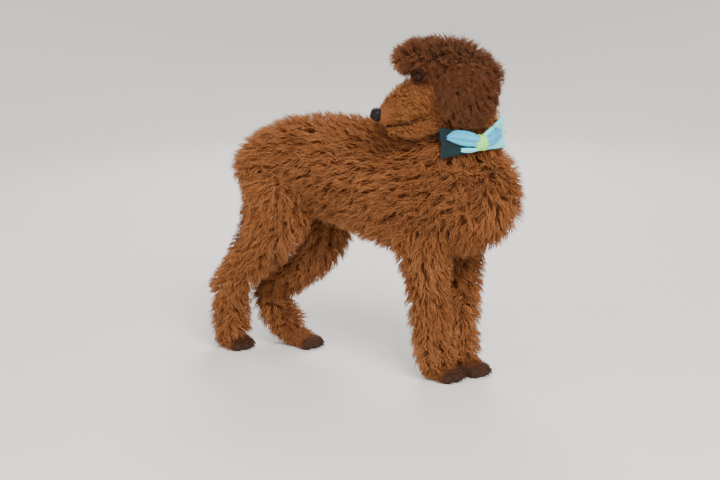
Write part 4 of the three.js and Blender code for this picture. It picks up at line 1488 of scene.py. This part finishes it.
class POODLE_OT_collar(bpy.types.Operator):
    """Build the dark webbing collar"""

    bl_idname = "poodle.collar"
    bl_label = "Collar"

    def execute(self, context):
        outer, half = COLLAR["radius"], COLLAR["width"] / 2
        inner = outer - COLLAR["thick"]
        # The strap's lower half, from inside out: rounded corners and a groove beside its edge.
        corner = [(inner, 1), (inner + 1, 0), (outer - 1, 0), (outer - 0.2, 1)]
        hem = corner + [(outer - 0.5, 2.4), (outer, 3.4)]
        section = [(r, h - half) for r, h in hem] + [(r, half - h) for r, h in reversed(hem)]
        steps = 120
        points = np.vstack([level_ring(r, h, steps) for r, h in section]) @ COLLAR_TURN.T + COLLAR["at"]
        strap = mesh_object("collar_strap", points, bands(len(section), steps, True))
        dress(strap, strap_material(), "strap", "collar")
        return {"FINISHED"}


class POODLE_OT_bow(bpy.types.Operator):
    """Build the bow tie: two wings of folded layers, and the knot"""

    bl_idname = "poodle.bow"
    bl_label = "Bow tie"

    def execute(self, context):
        look = context.scene.poodle_wear
        upper = self.cloth("bow_satin", look.bow_colour, 0.86)
        # One light blue satin in copies: the layer below deeper with painted shade, the lit layers paler
        # with painted light.
        lower = self.cloth("bow_under_satin", look.under_shade_colour, 0.7, 0.5, 0.06)
        # Painted shade in the right wing's fold.
        fold = cloth_material("bow_fold_satin", look.fold_shade_colour, look.bow_colour, 0.42, 0.08)
        lit = self.cloth("bow_lit_satin", look.lit_colour, 0.85)
        level, widening = (0, 0, 0, 0), (14, 19, 24, 28)
        # Each layer: its side, cloth and share of the wing's length, its half height and rise
        # along it, how far it is in front, its number of pleats and its depth.
        layers = {
            "layer_left": (-1, lower, 1.0, widening, level, 0, 3, 6),
            "layer_right": (1, lit, 1.0, widening, level, 0, 3, 6),
            "lobe_left": (-1, upper, 0.86, (8, 12.5, 13.5, 11, 2.2), (6, 9, 11, 13, 11), 8, 2, 7),
            "lobe_right": (1, fold, 0.8, (6, 10, 12, 10, 6), (1, 2, 3, 3, 3), 7, 2, 6),
            "slip_left": (-1, lit, 0.5, (0.8, 3.4, 4.2, 3.2), (-9, -10.4, -10.8, -10.4), 7, 1, 3),
        }
        for name, (side, cloth, share, *shape) in layers.items():
            wing = mesh_object(f"bow_{name}", *self.layer(side, share * look.wing_length * 1000, *shape))
            nodes = (f"bow_wing_{name[6:]}",) if name.startswith("layer") else ()
            dress(wing, cloth, "bow_cloth", *nodes)
        knot = mesh_object("bow_knot_wrap", *self.knot())
        dress(knot, self.cloth("knot_satin", look.knot_colour, 0.8, 0.5, 0.06), "knot_cloth", "bow_knot")
        return {"FINISHED"}

    def cloth(self, name, base, darker, roughness=0.42, sheen=0.08):
        """Satin with darker shadows of its own colour."""
        return cloth_material(name, base, shade(base, darker), roughness, sheen)

    def placed_bow(self, points):
        """Points of the bow's own frame, with +X to the dog's left and -Y away from the neck."""
        out = np.array([COLLAR["radius"] + BOW["knot"][1] + 0.3, 0, 0])
        at = COLLAR_TURN @ (turned(BOW["facing"], "Z") @ out) + COLLAR["at"]
        turn = turned(BOW["facing"] + 90, "Z") @ turned(-BOW["roll"], "Y") @ turned(BOW["lean"], "X")
        return points @ turn.T + at

    def layer(self, side, length, high, rise, forward, pleats, depth):
        """A folded loop of cloth, gathered at the knot: its half height and rise are given along it."""
        columns, rows = 44, 40
        s = np.linspace(0, 1, columns)[:, None]
        v = np.linspace(-1, 1, rows)[None]
        high, rise = self.along(high, columns), self.along(rise, columns)
        x = side * (BOW["knot"][0] - 6 + s * length * (1 + 0.05 * v**2))
        z = rise + high * v
        fold = 1.7 * (1 - s) ** 1.4 * np.cos(pleats * np.pi * v) + 0.8 * np.sin(2.2 * np.pi * v + 2 * s)
        fold = fold * (0.35 + 0.65 * (1 - np.abs(v) ** 3))
        puff = depth * np.sin(np.pi * s) ** 0.7 * (1 - 0.25 * s) * np.sqrt(1 - 0.96 * v**2) + 0.5
        middle = math.tan(math.radians(BOW["bend"])) * s * length - forward
        front, back = (np.stack([x, middle - sheet * puff - fold, z], 2) for sheet in (1, -1))
        around = 2 * rows
        points = np.concatenate([front, back[:, ::-1]], 1).reshape(-1, 3)
        faces = bands(columns, around)
        for j in range(rows - 1):
            end = (j, around - 1 - j, around - 2 - j, j + 1)
            faces += [end, tuple((columns - 1) * around + i for i in reversed(end))]
        return self.placed_bow(points), flipped(faces) if side > 0 else faces

    def along(self, numbers, columns):
        """Numbers given at even steps along a layer, at each of its columns."""
        return spline([(k, 0, 0, number) for k, number in enumerate(numbers)], columns)[:, 3:]

    def knot(self):
        """A wrapped knot with folds that run round it, fuller in front."""
        points, faces = ball((0, 0, 0), (1, 1, 1), 72, 48)
        x, y, z = points.T
        folds = 0.045 * np.cos(8 * x + 2.2 * z) + 0.02 * np.cos(15 * x - 3 * z)
        box = np.stack([np.sign(x) * np.abs(x) ** 0.92, y, np.sign(z) * np.abs(z) ** 0.92], 1)
        box[:, 0] *= 1 - 0.16 * (1 - z**2)
        box[:, 1] *= np.where(y < 0, 1.4, 1)
        points = box * (1 + folds)[:, None] * np.array(BOW["knot"]) * (1.3, 1.05, 0.88)
        return self.placed_bow(points), faces


class POODLE_OT_stage(bpy.types.Operator):
    """Build the pale floor, the soft lights and the camera"""

    bl_idname = "poodle.stage"
    bl_label = "Stage"

    def execute(self, context):
        look = context.scene.poodle_stage
        self.floor(floor_material(look.floor_colour))
        for name, (spot, size, share) in LIGHTS.items():
            self.light(name, spot, size, share * look.key_power)
        world = bpy.data.worlds.new("soft_studio")
        world.use_nodes = True
        background = world.node_tree.nodes["Background"]
        background.inputs[0].default_value = (1.0, 0.98, 0.95, 1.0)
        background.inputs[1].default_value = 0.62
        context.scene.world = world
        camera = linked("camera", bpy.data.cameras.new("camera"))
        camera.data.lens = look.focal_length
        camera.data.sensor_width = 36
        spot, aim = Vector(placed(CAMERA["at"])), Vector(placed(CAMERA["aim"]))
        facing = (aim - spot).to_track_quat("-Z", "Y").to_matrix()
        camera.location = spot
        camera.rotation_euler = (facing @ Matrix.Rotation(math.radians(CAMERA["roll"]), 3, "Z")).to_euler()
        context.scene.camera = camera
        return {"FINISHED"}

    def floor(self, finish):
        """A round floor that bends up into a low wall."""
        flat, reach, foot, wall, around = 1500, 4300, 1300, 2700, 96
        bends = np.linspace(0, math.pi / 2, 18)
        bend = [(reach - foot + foot * math.sin(b), foot - foot * math.cos(b)) for b in bends]
        profile = [(flat, 0), *bend, (reach, wall)]
        points = np.vstack([level_ring(r, h, around) for r, h in profile]) + MIDDLE
        floor = mesh_object("floor", points, [tuple(range(around)), *flipped(bands(len(profile), around))])
        floor.data.materials.append(finish)

    def light(self, name, spot, size, power):
        """A soft square light that faces the dog."""
        lamp = bpy.data.lights.new(name, "AREA")
        lamp.size = size
        lamp.energy = power
        lamp.color = (1.0, 0.97, 0.93)
        made = linked(name, lamp)
        made.location = spot
        made.rotation_euler = (Vector((0, 0, 0.3)) - Vector(spot)).to_track_quat("-Z", "Y").to_euler()


class POODLE_PT_panel(bpy.types.Panel):
    """Lists the pieces of the poodle and their sizes and colours"""

    bl_idname = "POODLE_PT_panel"
    bl_label = "Standing Poodle"
    bl_space_type = "VIEW_3D"
    bl_region_type = "UI"
    bl_category = "Poodle"

    def draw(self, context):
        for operator in OPERATORS:
            self.layout.operator(operator.bl_idname)
        for name in GROUPS:
            group = getattr(context.scene, name)
            box = self.layout.box()
            for key in group.__annotations__:
                box.prop(group, key)


OPERATORS = (
    POODLE_OT_stage,
    POODLE_OT_skin,
    POODLE_OT_coat,
    POODLE_OT_ears,
    POODLE_OT_eyes,
    POODLE_OT_nose,
    POODLE_OT_lips,
    POODLE_OT_claws,
    POODLE_OT_collar,
    POODLE_OT_bow,
)
GROUPS = {
    "poodle_coat": CoatLook,
    "poodle_face": FaceLook,
    "poodle_wear": WearLook,
    "poodle_stage": StageLook,
}


def register():
    """Adds the add-on's classes and settings."""
    for group in (*GROUPS.values(), *OPERATORS, POODLE_PT_panel):
        bpy.utils.register_class(group)
    for name, group in GROUPS.items():
        setattr(bpy.types.Scene, name, PointerProperty(type=group))


def unregister():
    """Takes the add-on's classes and settings away."""
    for name in GROUPS:
        delattr(bpy.types.Scene, name)
    for group in reversed((*GROUPS.values(), *OPERATORS, POODLE_PT_panel)):
        bpy.utils.unregister_class(group)


def main():
    """Builds every piece in order."""
    register()
    for operator in OPERATORS:
        group, name = operator.bl_idname.split(".")
        getattr(getattr(bpy.ops, group), name)()


if __name__ == "__main__":
    main()
